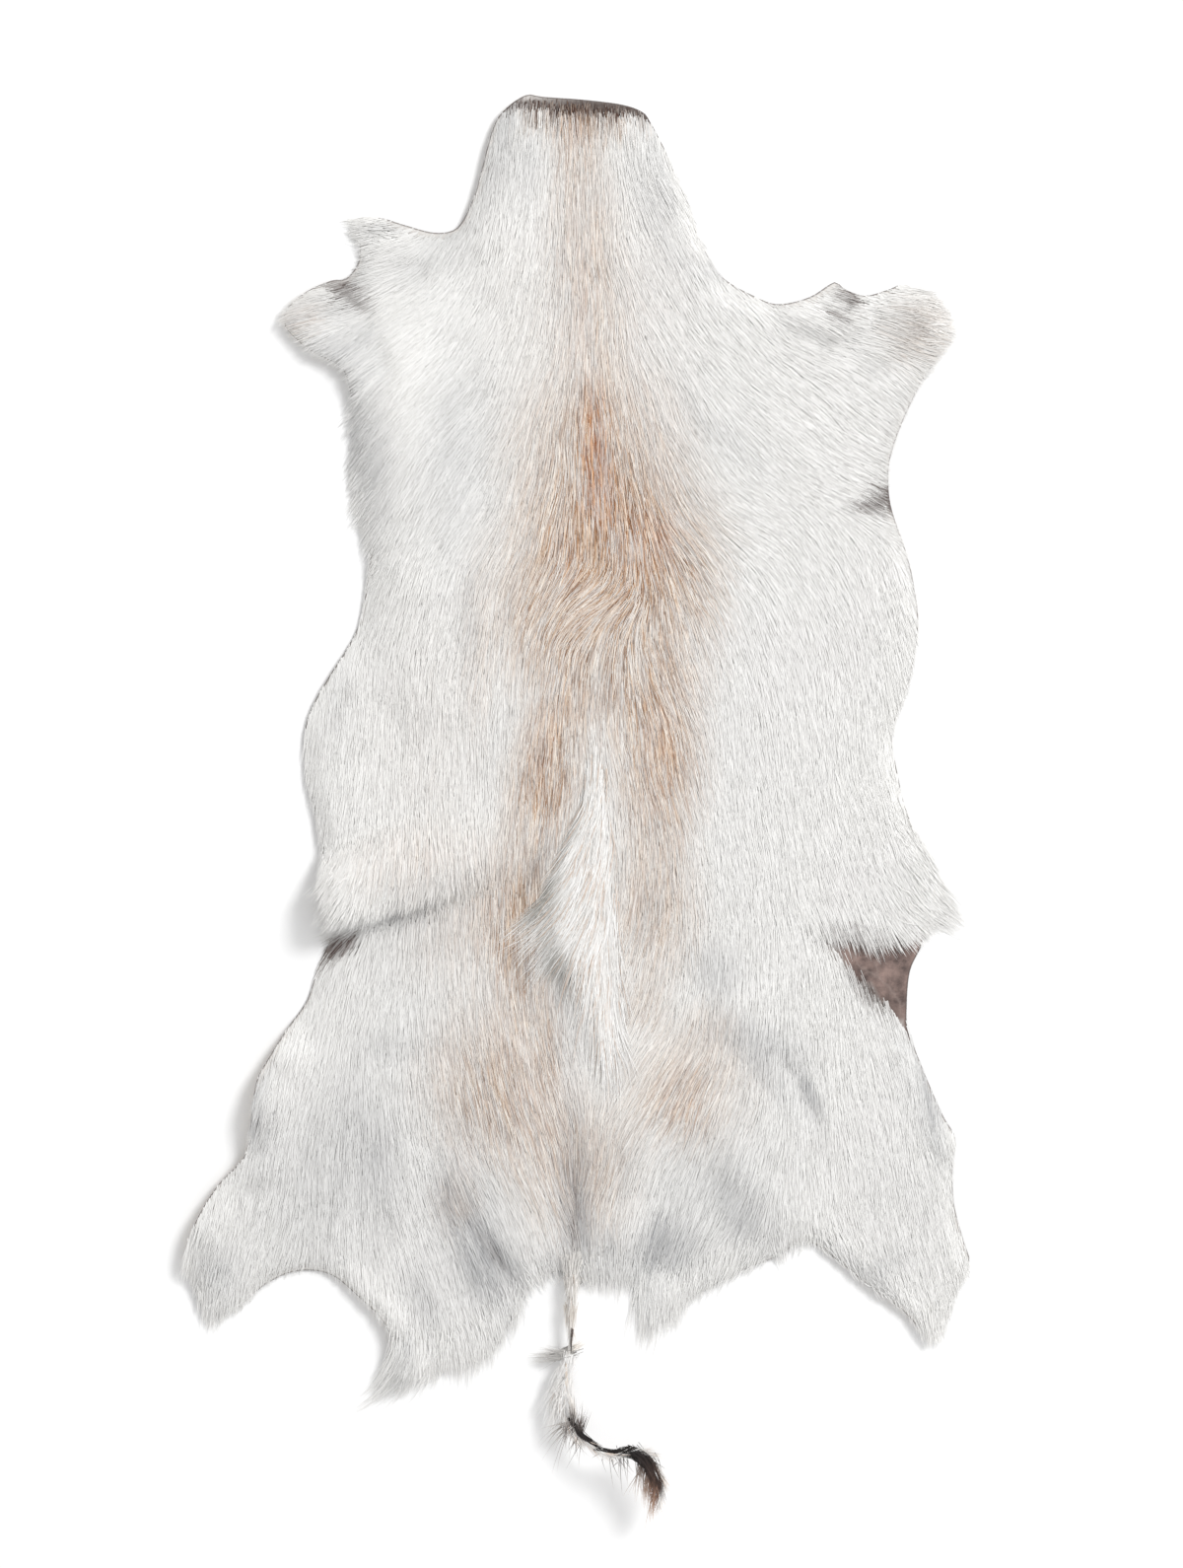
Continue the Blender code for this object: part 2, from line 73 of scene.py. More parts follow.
# Empty border of a piece's UV map, and the least height of hair that lies on the floor, in metres
UV_MARGIN = 0.01
FLOOR_GAP = 0.3 * MM


# Plan geometry


class Patch(NamedTuple):
    """A soft ellipse on the skin, in plan: half sizes, strength, turn in degrees, soft share."""

    x: float
    y: float
    half_width: float
    half_length: float
    strength: float
    turn: float = 0.0
    soft: float = 1.0


class Ridge(NamedTuple):
    """A line of x, y, height marks. The height falls to nothing at the reach on each side."""

    line: tuple
    reach_left: float
    reach_right: float


class Rim(NamedTuple):
    """A stretch of the rim, and how far its hair reaches past the cut edge, or stays short of it."""

    start: tuple
    end: tuple
    reach: float


class Fringe(NamedTuple):
    """Long hair rooted along a line of marks, with its length in millimetres and its number."""

    line: tuple
    length: float
    hairs: int


def records(kind: type, rows: tuple) -> tuple:
    """Makes a table's rows into records with named columns."""
    return tuple(kind(*row) for row in rows)


def smooth_step(value: np.ndarray) -> np.ndarray:
    """Rises from 0 to 1 with level ends."""
    t = np.clip(value, 0.0, 1.0)
    return t * t * (3.0 - 2.0 * t)


def unit(rows: np.ndarray) -> np.ndarray:
    """Scales vectors, which are the last axis of an array, to length 1."""
    return rows / np.linalg.norm(rows, axis=-1, keepdims=True)


def along_line(points: np.ndarray, start: tuple, end: tuple) -> tuple:
    """Measures points against one straight line.

    Args:
        points: Plan positions, one row each.
        start: First end of the line.
        end: Last end of the line.

    Returns:
        Share of the way along, distance, and side (1 is left) of each point.
    """
    a = np.asarray(start, float)
    run = np.asarray(end, float) - a
    offset = points - a
    share = np.clip(offset @ run / max(float(run @ run), 1e-9), 0.0, 1.0)
    distance = np.linalg.norm(offset - share[:, None] * run, axis=1)
    side = np.sign(run[0] * offset[:, 1] - run[1] * offset[:, 0])
    return share, distance, side


def inside(points: np.ndarray, ring: np.ndarray) -> np.ndarray:
    """True for the points inside a closed outline."""
    found = np.zeros(len(points), bool)
    for (ax, ay), (bx, by) in zip(ring, np.roll(ring, -1, axis=0)):
        if ay == by:
            continue
        crosses = (ay > points[:, 1]) != (by > points[:, 1])
        at_x = ax + (points[:, 1] - ay) * (bx - ax) / (by - ay)
        found ^= crosses & (points[:, 0] < at_x)
    return found


def ring_facts(points: np.ndarray, ring: np.ndarray) -> tuple:
    """Measures points against a closed outline.

    Args:
        points: Plan positions, one row each.
        ring: The outline.

    Returns:
        Distance from the outline, and index of its nearest stretch, for each point.
    """
    nearest = np.full(len(points), np.inf)
    index = np.zeros(len(points), int)
    for number, (a, b) in enumerate(zip(ring, np.roll(ring, -1, axis=0))):
        distance = along_line(points, a, b)[1]
        closer = distance < nearest
        nearest = np.where(closer, distance, nearest)
        index = np.where(closer, number, index)
    return nearest, index


def depth_inside(points: np.ndarray, ring: np.ndarray) -> np.ndarray:
    """Distance from a closed outline, negative for the points outside it."""
    distance, _ = ring_facts(points, ring)
    return np.where(inside(points, ring), distance, -distance)


def outward_from(ring: np.ndarray) -> np.ndarray:
    """Unit directions out of a closed outline that runs anticlockwise."""
    run = unit(np.roll(ring, -1, axis=0) - np.roll(ring, 1, axis=0))
    return np.stack([run[:, 1], -run[:, 0]], axis=1)


def blended_round(values: np.ndarray, times: int) -> np.ndarray:
    """Blends each value of a closed row with its neighbours, so that steps become slopes."""
    for _ in range(times):
        values = (np.roll(values, 1) + 2 * values + np.roll(values, -1)) / 4
    return values


def ridge_height(points: np.ndarray, ridge: Ridge) -> np.ndarray:
    """Height of one ridge: greatest on its line, level and nothing at its reach."""
    nearest = np.full(len(points), np.inf)
    found = np.zeros(len(points))
    for (ax, ay, a_height), (bx, by, b_height) in zip(ridge.line, ridge.line[1:]):
        share, distance, side = along_line(points, (ax, ay), (bx, by))
        reach = np.where(side >= 0, ridge.reach_left, ridge.reach_right)
        height = a_height + share * (b_height - a_height)
        height = height * (1.0 - np.clip(distance / reach, 0.0, 1.0) ** 2) ** 2
        found = np.where(distance < nearest, height, found)
        nearest = np.minimum(nearest, distance)
    return found


def patch_share(points: np.ndarray, patches: tuple) -> np.ndarray:
    """How strongly a set of soft ellipses covers each point, from 0 to 1."""
    left = np.ones(len(points))
    for patch in patches:
        turn = math.radians(patch.turn)
        dx, dy = points[:, 0] - patch.x, points[:, 1] - patch.y
        across = dx * math.cos(turn) + dy * math.sin(turn)
        along = dy * math.cos(turn) - dx * math.sin(turn)
        radius = np.hypot(across / patch.half_width, along / patch.half_length)
        left *= 1.0 - patch.strength * smooth_step((1.0 - radius) / patch.soft)
    return 1.0 - left


def spline_through(marks: list, step: float, closed: bool) -> np.ndarray:
    """A smooth line through marks, which may have any number of columns.

    Args:
        marks: Rows of numbers whose first columns are x and y.
        step: Distance between the points of the line.
        closed: Whether the line runs on from its last mark to its first.

    Returns:
        The points of the line, one row each.
    """
    rows = [np.asarray(mark, float) for mark in marks]
    if closed:
        ends = [rows[-1]] + rows + rows[:2]
    else:
        ends = [2 * rows[0] - rows[1]] + rows + [2 * rows[-1] - rows[-2]]
    line = []
    for before, a, b, after in zip(ends, ends[1:], ends[2:], ends[3:]):
        count = max(1, round(float(np.linalg.norm((b - a)[:2])) / step))
        for number in range(count):
            t = number / count
            line.append(0.5 * (
                2 * a + (b - before) * t
                + (2 * before - 5 * a + 4 * b - after) * t ** 2
                + (3 * a - before - 3 * b + after) * t ** 3
            ))
    if not closed:
        line.append(rows[-1])
    return np.array(line)


def turns(a: np.ndarray, b: np.ndarray, c: np.ndarray) -> np.ndarray:
    """Positive where c lies to the left of the line from a to b."""
    return (b[..., 0] - a[..., 0]) * (c[..., 1] - a[..., 1]) - (
        b[..., 1] - a[..., 1]) * (c[..., 0] - a[..., 0])


def without_loops(ring: np.ndarray) -> np.ndarray:
    """Cuts off the small loops that a moved outline makes at its narrow corners."""
    while True:
        a, b = ring[:, None], np.roll(ring, -1, axis=0)[:, None]
        c, d = ring[None], np.roll(ring, -1, axis=0)[None]
        crosses = (turns(a, b, c) * turns(a, b, d) < 0) & (turns(c, d, a) * turns(c, d, b) < 0)
        pairs = np.argwhere(crosses)
        pairs = pairs[pairs[:, 0] < pairs[:, 1]]
        if len(pairs) == 0:
            return ring
        first, last = pairs[np.argmin(pairs[:, 1] - pairs[:, 0])]
        log.info("outline loop at %s, %d points", ring[first].round(), last - first)
        ring = np.concatenate([ring[:first + 1], ring[last + 1:]])


# Nearest that a point inside may be to the outline, and to its rim band, as a share of each,
# and the distance in millimetres below which the triangulation takes two points as one
BODY_GAP = 0.55
RIM_GAP = 0.8
SAME_POINT = 1e-7


def staggered_points(ring: np.ndarray, step: float) -> np.ndarray:
    """Staggered rows of points over the box of an outline."""
    low, high = ring.min(axis=0), ring.max(axis=0)
    row_step = step * math.sqrt(3) / 2
    rows = []
    for row in range(int((high[1] - low[1]) / row_step) + 1):
        xs = np.arange(low[0] + (row % 2) * step / 2, high[0], step)
        rows.append(np.stack([xs, np.full(len(xs), low[1] + row * row_step)], axis=1))
    return np.concatenate(rows)


def filled_outline(ring: np.ndarray, step: float, rim: float = 0.0) -> tuple:
    """Fills an outline with even triangles.

    Args:
        ring: The closed outline.
        step: Spacing of the points inside it.
        rim: Width of a narrow band of triangles along the outline, if there is one.

    Returns:
        Plan positions and triangles. The outline's own points come first.
    """
    body = staggered_points(ring, step)
    body = body[inside(body, ring)]
    body = body[ring_facts(body, ring)[0] > BODY_GAP * step]
    if rim > 0:
        inner = ring - outward_from(ring) * rim
        inner = inner[inside(inner, ring)]
        body = np.concatenate([inner[ring_facts(inner, ring)[0] > RIM_GAP * rim], body])
    given = np.concatenate([ring, body])
    plan = [Vector(point) for point in given]
    found = delaunay_2d_cdt(plan, [], [list(range(len(ring)))], 1, SAME_POINT)
    # Each corner of the triangulation is one of the points given to it
    source = np.array([group[0] for group in found[3]])
    faces = source[np.array(found[2])]
    return given, faces


# Where things are on the skin

# The cut edge, one row of x, y marks for each stretch, once round from the neck
CUT_EDGE = {
    "neck": ((1, 574), (-31, 576), (-45, 577), (-63, 564), (-72, 548)),
    "neck, left side": ((-82, 510), (-89, 489), (-100, 470), (-118, 466)),
    "left shoulder point": ((-142, 472), (-162, 478), (-178, 478), (-182, 464), (-180, 444)),
    "left foreleg": (
        (-190, 429), (-203, 427), (-224, 417), (-239, 403), (-240, 390), (-229, 377),
    ),
    "left armpit": ((-214, 366), (-195, 356), (-188, 339), (-186, 319), (-184, 298)),
    "left chest": ((-183, 269), (-180, 240), (-174, 218), (-171, 204), (-174, 180), (-179, 151)),
    "left flank": (
        (-190, 128), (-204, 106), (-216, 85), (-223, 66), (-223, 48), (-222, 22), (-215, -8),
    ),
    "left groin": ((-210, -40), (-206, -64), (-200, -86), (-204, -108), (-213, -129)),
    "left hip": (
        (-222, -156), (-237, -178), (-251, -200), (-262, -221), (-266, -249), (-271, -280),
    ),
    "left hind leg": (
        (-294, -306), (-311, -334), (-320, -360), (-318, -374), (-311, -393), (-301, -409),
        (-289, -411), (-273, -403), (-258, -389), (-237, -378), (-217, -376), (-199, -381),
    ),
    "left thigh": (
        (-181, -396), (-163, -413), (-153, -431), (-149, -449), (-143, -459), (-119, -456),
        (-92, -451), (-71, -438), (-56, -417), (-47, -397), (-34, -383), (-17, -377),
    ),
    "tail root": ((-8, -386), (0, -388)),
    "right thigh": (
        (9, -380), (24, -385), (40, -383), (51, -394), (66, -406), (85, -401), (104, -390),
        (135, -374), (161, -364), (182, -352), (206, -366), (232, -387), (261, -408),
    ),
    "right hind leg": (
        (277, -427), (288, -427), (297, -414), (308, -385), (316, -369), (311, -352),
        (303, -321), (302, -288), (304, -268), (293, -248), (276, -208), (266, -180),
    ),
    "right groin": (
        (265, -162), (268, -133), (277, -114), (284, -96), (289, -76), (288, -56), (281, -35),
    ),
    "right flank": (
        (266, -7), (257, 28), (253, 59), (261, 85), (268, 106), (274, 147), (271, 177),
    ),
    "right armpit": ((265, 204), (252, 244), (250, 271), (253, 289), (262, 314), (275, 341)),
    "right foreleg": (
        (282, 351), (295, 372), (299, 388), (285, 413), (263, 424), (250, 420), (231, 415),
    ),
    "right shoulder": ((214, 420), (206, 426), (186, 414), (162, 408), (142, 414), (112, 433)),
    "neck, right side": ((94, 469), (83, 500), (71, 528), (57, 555), (50, 564), (33, 570)),
}

# Where the whole skin is off the floor. Left and right are as seen along the line
FOLDS = (
    Ridge(
        ((-222, -94, 37), (-186, -80, 31), (-150, -66, 20), (-104, -52, 9), (-66, -40, 1)), 66, 23,
    ),
    Ridge(((-254, -204, 11), (-266, -236, 19), (-273, -276, 11)), 46, 46),
    Ridge(((-296, -306, 8), (-312, -334, 14), (-322, -358, 12), (-318, -386, 4)), 46, 46),
    Ridge(((-190, -388, 4), (-158, -422, 8), (-146, -458, 9)), 30, 30),
    Ridge(((-190, 100, 3), (-200, 40, 4), (-196, 0, 5), (-186, -60, 6)), 60, 44),
    Ridge(((-146, 330, 5), (-140, 250, 9), (-136, 180, 8), (-140, 110, 4)), 70, 52),
    Ridge(((-222, 418, 2), (-236, 396, 4), (-212, 366, 7), (-186, 346, 6)), 40, 34),
    Ridge(((-52, 566, 4), (-68, 528, 6.5), (-80, 482, 5), (-70, 440, 2)), 44, 36),
    Ridge(((200, -366, 3), (240, -398, 5), (280, -430, 5)), 26, 26),
    Ridge(((170, 402, 3), (194, 391, 6), (222, 395, 4)), 15, 15),
    Ridge(((290, 380, 3), (262, 396, 7), (240, 380, 3)), 30, 30),
)

# Where the hair is deeper, or less deep, while the leather stays where it is
SWELLS = (
    Ridge(((0, 300, 1.5), (10, 60, 2.5)), 90, 90),
    Ridge(((-120, 400, 1.5), (-110, 250, 1.5)), 60, 60),
    Ridge(((130, 370, 1.5), (150, 250, 1.5)), 60, 60),
    Ridge(((-50, -205, 4), (-44, -345, 4)), 38, 38),
    Ridge(((46, -205, 4), (34, -345, 4)), 38, 38),
    Ridge(((-10, -200, -1.5), (-5, -290, -4.5), (-3, -377, -5)), 12, 12),
    Ridge(((-190, -96, -3), (-128, -84, -3), (-66, -57, -2)), 18, 18),
    Ridge(((-150, -235, -3), (-164, -290, -4), (-178, -334, -3)), 24, 24),
    Ridge(((-92, -330, -4), (-66, -366, -4.5), (-44, -396, -3)), 20, 20),
    Ridge(((116, -310, -3), (84, -352, -4), (52, -388, -3)), 26, 26),
    Ridge(((168, -206, -4), (190, -252, -4)), 11, 11),
    Ridge(((124, -230, -2), (150, -290, -3)), 20, 20),
    Ridge(((-200, 418, -2), (-166, 398, -2.5)), 12, 12),
    Ridge(((112, 330, -1), (138, 286, -2.5), (170, 254, -1)), 26, 26),
    Ridge(((150, 160, 1.5), (160, 40, 2), (150, -90, 2)), 50, 50),
    Ridge(((-110, 150, 2), (-104, 30, 2)), 50, 50),
)

# How far the coat's own hair hangs past the cut edge. Elsewhere it is HideForm's own overhang
RIM = records(Rim, (
    ((45, 566), (-60, 565), -0.6), ((-64, 563), (-104, 469), -1.2),
    ((-106, 468), (-150, 474), -0.8), ((-160, 478), (-184, 462), 7),
    ((-182, 460), (-184, 438), -1),
    ((-188, 434), (-196, 428), 1), ((-203, 427), (-228, 415), -0.5),
    ((-232, 410), (-222, 371), 0), ((-216, 367), (-189, 342), 1),
    ((-188, 338), (-184, 304), 1), ((-184, 300), (-183, 264), 10),
    ((-182, 255), (-176, 222), 5), ((-172, 208), (-174, 190), 1),
    ((-175, 178), (-222, 60), 3), ((-223, 58), (-212, -30), 2),
    ((-210, -40), (-200, -90), 8), ((-203, -104), (-262, -221), -0.4),
    ((-266, -249), (-318, -352), 1.5), ((-320, -360), (-303, -405), 3),
    ((-305, -404), (-296, -410), 12), ((-289, -411), (-276, -405), 2),
    ((-262, -391), (-170, -407), -0.8), ((-163, -413), (-151, -437), 0.5),
    ((-148, -452), (-88, -450), 4), ((-84, -447), (-62, -426), 2),
    ((-58, -420), (-20, -379), 0), ((9, -380), (42, -384), 1),
    ((46, -389), (60, -402), 7), ((62, -403), (84, -401), 3), ((88, -400), (176, -357), 0),
    ((184, -354), (230, -386), 0), ((234, -389), (278, -427), -0.6),
    ((280, -427), (296, -415), 7), ((298, -408), (315, -372), 2),
    ((316, -366), (303, -322), -0.8), ((302, -315), (302, -275), -0.8),
    ((284, -98), (288, -54), 10), ((284, -44), (262, 4), 7),
    ((272, 150), (266, 200), -0.6), ((264, 206), (251, 262), -0.8),
    ((252, 280), (270, 334), -0.8), ((276, 343), (290, 362), 1.5),
    ((297, 374), (276, 418), 7), ((262, 424), (244, 419), 4),
    ((212, 421), (160, 409), -0.8), ((150, 410), (112, 433), 1.5),
    ((104, 447), (60, 550), 4),
))

# Hair that is longer than the coat's, rooted in lines near the rim
FRINGES = records(Fringe, (
    (((-156, 470), (-176, 471)), 18, 220),
    (((-184, 330), (-178, 290), (-176, 240)), 22, 500),
    (((-176, 230), (-168, 196)), 16, 160),
    (((-206, -50), (-196, -76), (-186, -90)), 30, 420),
    (((-302, -394), (-296, -400)), 26, 260),
    (((-150, -434), (-146, -444)), 64, 300),
    (((-146, -430), (-138, -440), (-122, -440)), 40, 420),
    (((-128, -434), (-100, -432), (-78, -424)), 36, 560),
    (((-90, -424), (-66, -406), (-52, -392)), 28, 460),
    (((-46, -386), (-22, -366)), 16, 260),
    (((8, -366), (44, -370)), 27, 460),
    (((58, -372), (62, -380)), 66, 380),
    (((62, -380), (72, -390), (80, -388)), 36, 460),
    (((86, -386), (130, -360), (176, -340)), 22, 800),
    (((186, -340), (234, -374), (262, -396)), 12, 400),
    (((276, -416), (294, -406)), 20, 200),
    (((272, -78), (280, -60), (278, -44)), 52, 320),
    (((282, -46), (262, 0)), 16, 220),
    (((288, 376), (282, 398), (266, 416)), 16, 320),
))

# Which way the hair lies: x, y, and the direction towards the tips
HAIR_LIE = {
    "neck": (
        (9, 567, 0, -1), (-47, 559, -0.1, -1), (49, 551, 0.15, -1), (-71, 495, -0.15, -1),
        (73, 495, 0.5, -1), (9, 479, 0, -1), (57, 447, 0.5, -1), (89, 455, 0.6, -1),
        (-47, 423, -0.25, -1), (9, 391, 0, -1), (73, 391, 0.6, -1),
    ),
    "left shoulder": (
        (-103, 447, -0.6, -1), (-151, 455, -1, -0.35), (-179, 463, -1, 0.05),
        (-135, 407, -0.9, -0.6), (-199, 407, -1, -0.3), (-223, 391, -1, -0.35),
        (-167, 375, -0.9, -0.8), (-87, 391, -0.6, -1), (-119, 335, -0.9, -0.9),
        (-167, 319, -0.8, -1), (-95, 311, -0.9, -1), (-47, 335, -0.35, -1),
    ),
    "left chest": (
        (-151, 255, -0.6, -1), (-179, 239, -0.75, -0.9), (-95, 239, -0.65, -1),
        (-39, 255, -0.25, -1), (-151, 175, -0.3, -1), (-87, 159, -0.2, -1),
    ),
    "left flank": (
        (-151, 79, -0.05, -1), (-87, 63, -0.02, -1), (-199, 79, -0.1, -1), (-207, -9, -0.1, -1),
        (-135, -9, 0, -1), (-207, -73, -0.35, -1), (-151, -65, -0.15, -1), (-79, -41, 0, -1),
        (-39, 15, -0.1, -1), (-35, 135, -0.2, -1), (-47, 79, -0.1, -1),
    ),
    "middle of the back": (
        (9, 295, 0, -1), (41, 303, 0.25, -1), (17, 239, 0.05, -1), (9, 95, 0, -1),
        (41, 55, 0.15, -1), (73, 95, 0.35, -1), (81, 15, 0.25, -1), (49, 127, 0.2, -1),
    ),
    "whorl": (
        (57, 191, 0.35, -1), (38, 181, -0.7, -0.8), (20, 167, -1, -0.35), (2, 149, -0.8, -0.8),
        (-5, 133, -0.15, -1), (25, 143, -0.1, -1), (46, 205, 0.1, -1),
    ),
    "right shoulder": (
        (89, 295, 0.6, -1), (81, 223, 0.8, -1), (105, 175, 0.6, -1), (137, 239, 1, -0.6),
        (153, 335, 0.9, -0.8), (121, 383, 0.9, -0.9), (185, 391, 1, -0.5), (233, 399, 1, -0.2),
        (273, 391, 1, -0.25), (249, 335, 0.8, -0.7), (217, 271, 1, -0.5), (241, 255, 0.9, -0.45),
    ),
    "right flank": (
        (185, 207, 0.6, -1), (241, 191, 0.35, -1), (153, 143, 0.35, -1), (137, 47, 0.15, -1),
        (209, 95, 0.15, -1), (253, 63, 0.1, -1), (233, -17, 0.3, -1), (273, -57, 0.65, -1),
        (225, -89, 0.4, -1), (153, -33, 0.15, -1), (97, -49, 0.15, -1),
    ),
    "right loin and thigh": (
        (57, -39, -0.05, -1), (46, -120, -0.3, -1), (69, -203, -0.6, -1), (53, -246, -0.6, -1),
        (102, -258, -0.4, -1), (25, -297, -0.3, -1), (17, -343, 0.02, -1), (53, -332, -0.35, -1),
        (81, -368, -0.25, -1), (126, -344, -0.45, -1), (126, -283, -0.4, -1),
        (175, -356, 0.1, -1), (209, -353, 0.35, -1), (137, -161, -0.1, -1), (121, -113, 0, -1),
        (185, -193, 0.1, -1), (249, -193, 0.2, -1), (273, -265, 0.15, -1), (225, -289, 0.2, -1),
        (289, -353, 0.25, -1), (281, -409, 0.2, -1), (249, -385, 0.35, -1),
    ),
    "left loin and thigh": (
        (-72, -179, 0.15, -1), (-37, -203, 0.22, -1), (-72, -249, 0.3, -1), (-25, -249, 0.35, -1),
        (-57, -307, 0.45, -1), (-82, -332, 0.55, -1), (-19, -329, 0.4, -1), (-106, -380, 0.35, -1),
        (-130, -429, 0.1, -1), (-147, -457, -0.5, -1), (-87, -425, 0.3, -1),
        (-135, -225, 0.1, -1), (-127, -305, 0.25, -1), (-191, -145, -0.15, -1),
        (-231, -209, -0.25, -1), (-199, -289, -0.1, -1), (-263, -289, -0.2, -1),
        (-303, -353, -0.2, -1), (-299, -401, -0.15, -1), (-247, -369, -0.3, -1),
        (-199, -377, 0.1, -1), (-95, -105, 0, -1), (-151, -113, -0.05, -1),
        (-195, -105, -0.7, -0.9), (-39, -129, 0.05, -1), (1, -265, 0, -1),
    ),
    "past the rim": (
        (-152, -470, -0.8, -0.7), (-166, -486, -1, -0.5), (-140, -474, -0.6, -0.9),
        (-124, -478, -0.1, -1), (-96, -470, 0.05, -1), (-76, -456, -0.1, -1),
        (-42, -406, 0.5, -1), (62, -424, -0.12, -1), (80, -420, 0.02, -1), (60, -450, -0.25, -1),
        (300, -104, 0.8, -0.8), (290, -76, 0.75, -0.75), (316, -92, 0.9, -0.7),
        (-214, -80, -0.9, -0.5), (306, 388, 1, -0.1),
    ),
}

# Bare skin in the right groin, and places where the hair is thin
BARE_SKIN = (
    (186, -98), (234, -104), (284, -100), (284, -114), (266, -133), (266, -162), (268, -184),
    (254, -166), (234, -144), (211, -121),
)
THIN_HAIR = records(Patch, (
    (-192, -110, 24, 14, 0.75, 15, 0.6), (-194, 414, 24, 14, 0.4, 0, 0.7),
    (216, 410, 12, 16, 0.4, -30, 0.7),
))
SHORT_HAIR = records(Patch, (
    (0, 580, 74, 34, 0.65, 0, 0.9), (-190, 414, 34, 26, 0.4, 0, 0.9),
    (218, 410, 26, 26, 0.4, 0, 0.9), (240, 252, 24, 26, 0.4, 0, 0.9),
    (-76, 510, 22, 60, 0.3, -8, 0.9),
))

# The coat's colours by place, over white
FAWN = records(Patch, (
    (-4, 550, 32, 66, 0.45), (2, 480, 44, 110, 0.28), (8, 395, 54, 110, 0.27),
    (10, 380, 130, 190, 0.1), (14, 286, 112, 100, 0.52), (28, 214, 122, 94, 0.8, 0, 0.9),
    (12, 290, 26, 72, 0.75), (-40, 165, 56, 84, 0.35), (94, 175, 44, 62, 0.3, 10),
    # The row at -44, -104 is fawn hair darkened as painted shade, where the back fan's raised edge
    # shades the coat to its left
    (34, 220, 40, 52, 0.4, 10), (0, 558, 84, 20, 0.6, -3, 0.8), (-44, -104, 34, 66, 0.6, -8),
    (-24, -198, 16, 50, 0.4), (-84, 140, 22, 130, 0.2), (-40, -168, 44, 34, 0.35),
    (104, -178, 34, 28, 0.25), (-100, -322, 30, 40, 0.3), (24, 128, 112, 104, 0.6, 0, 0.8),
    (-28, 24, 46, 100, 0.68, -8, 0.9), (64, 34, 56, 116, 0.6, 0, 0.9), (-50, -84, 56, 90, 0.5, 10),
    (-90, -110, 80, 70, 0.18), (58, -84, 60, 100, 0.45), (-66, -228, 88, 100, 0.48, 14, 0.9),
    (82, -230, 84, 78, 0.4, 10), (-44, -138, 34, 36, 0.4), (46, -165, 40, 36, 0.28),
    (-4, -295, 74, 88, 0.45), (-115, 40, 90, 220, 0.06), (276, 386, 34, 46, 0.3, -30),
    (-228, 396, 20, 24, 0.2), (-140, -44, 90, 34, 0.16, 10), (82, -238, 44, 42, 0.32, 10),
))
# Pale places within the fawn, where the hair parts
PALE = records(Patch, (
    (44, 208, 8, 17, 0.7, 20), (-2, 262, 7, 26, 0.35), (26, 206, 10, 24, 0.35, -20),
    (12, 110, 7, 60, 0.45), (112, -236, 30, 20, 0.5, -20), (-8, 404, 20, 34, 0.3),
    (44, 104, 20, 34, 0.25),
))
ORANGE = records(Patch, (
    (16, 258, 22, 60, 0.5), (62, 222, 36, 26, 0.4), (11, 292, 18, 74, 0.9), (18, 240, 44, 40, 0.3),
    (52, 206, 42, 46, 0.4, -30), (-10, 200, 24, 44, 0.3, 20), (-3, 550, 14, 34, 0.4),
    (64, 40, 20, 74, 0.25), (-30, 60, 20, 74, 0.25), (-48, -225, 24, 56, 0.15, 14),
    (84, -246, 22, 32, 0.2), (2, 400, 12, 120, 0.3),
))
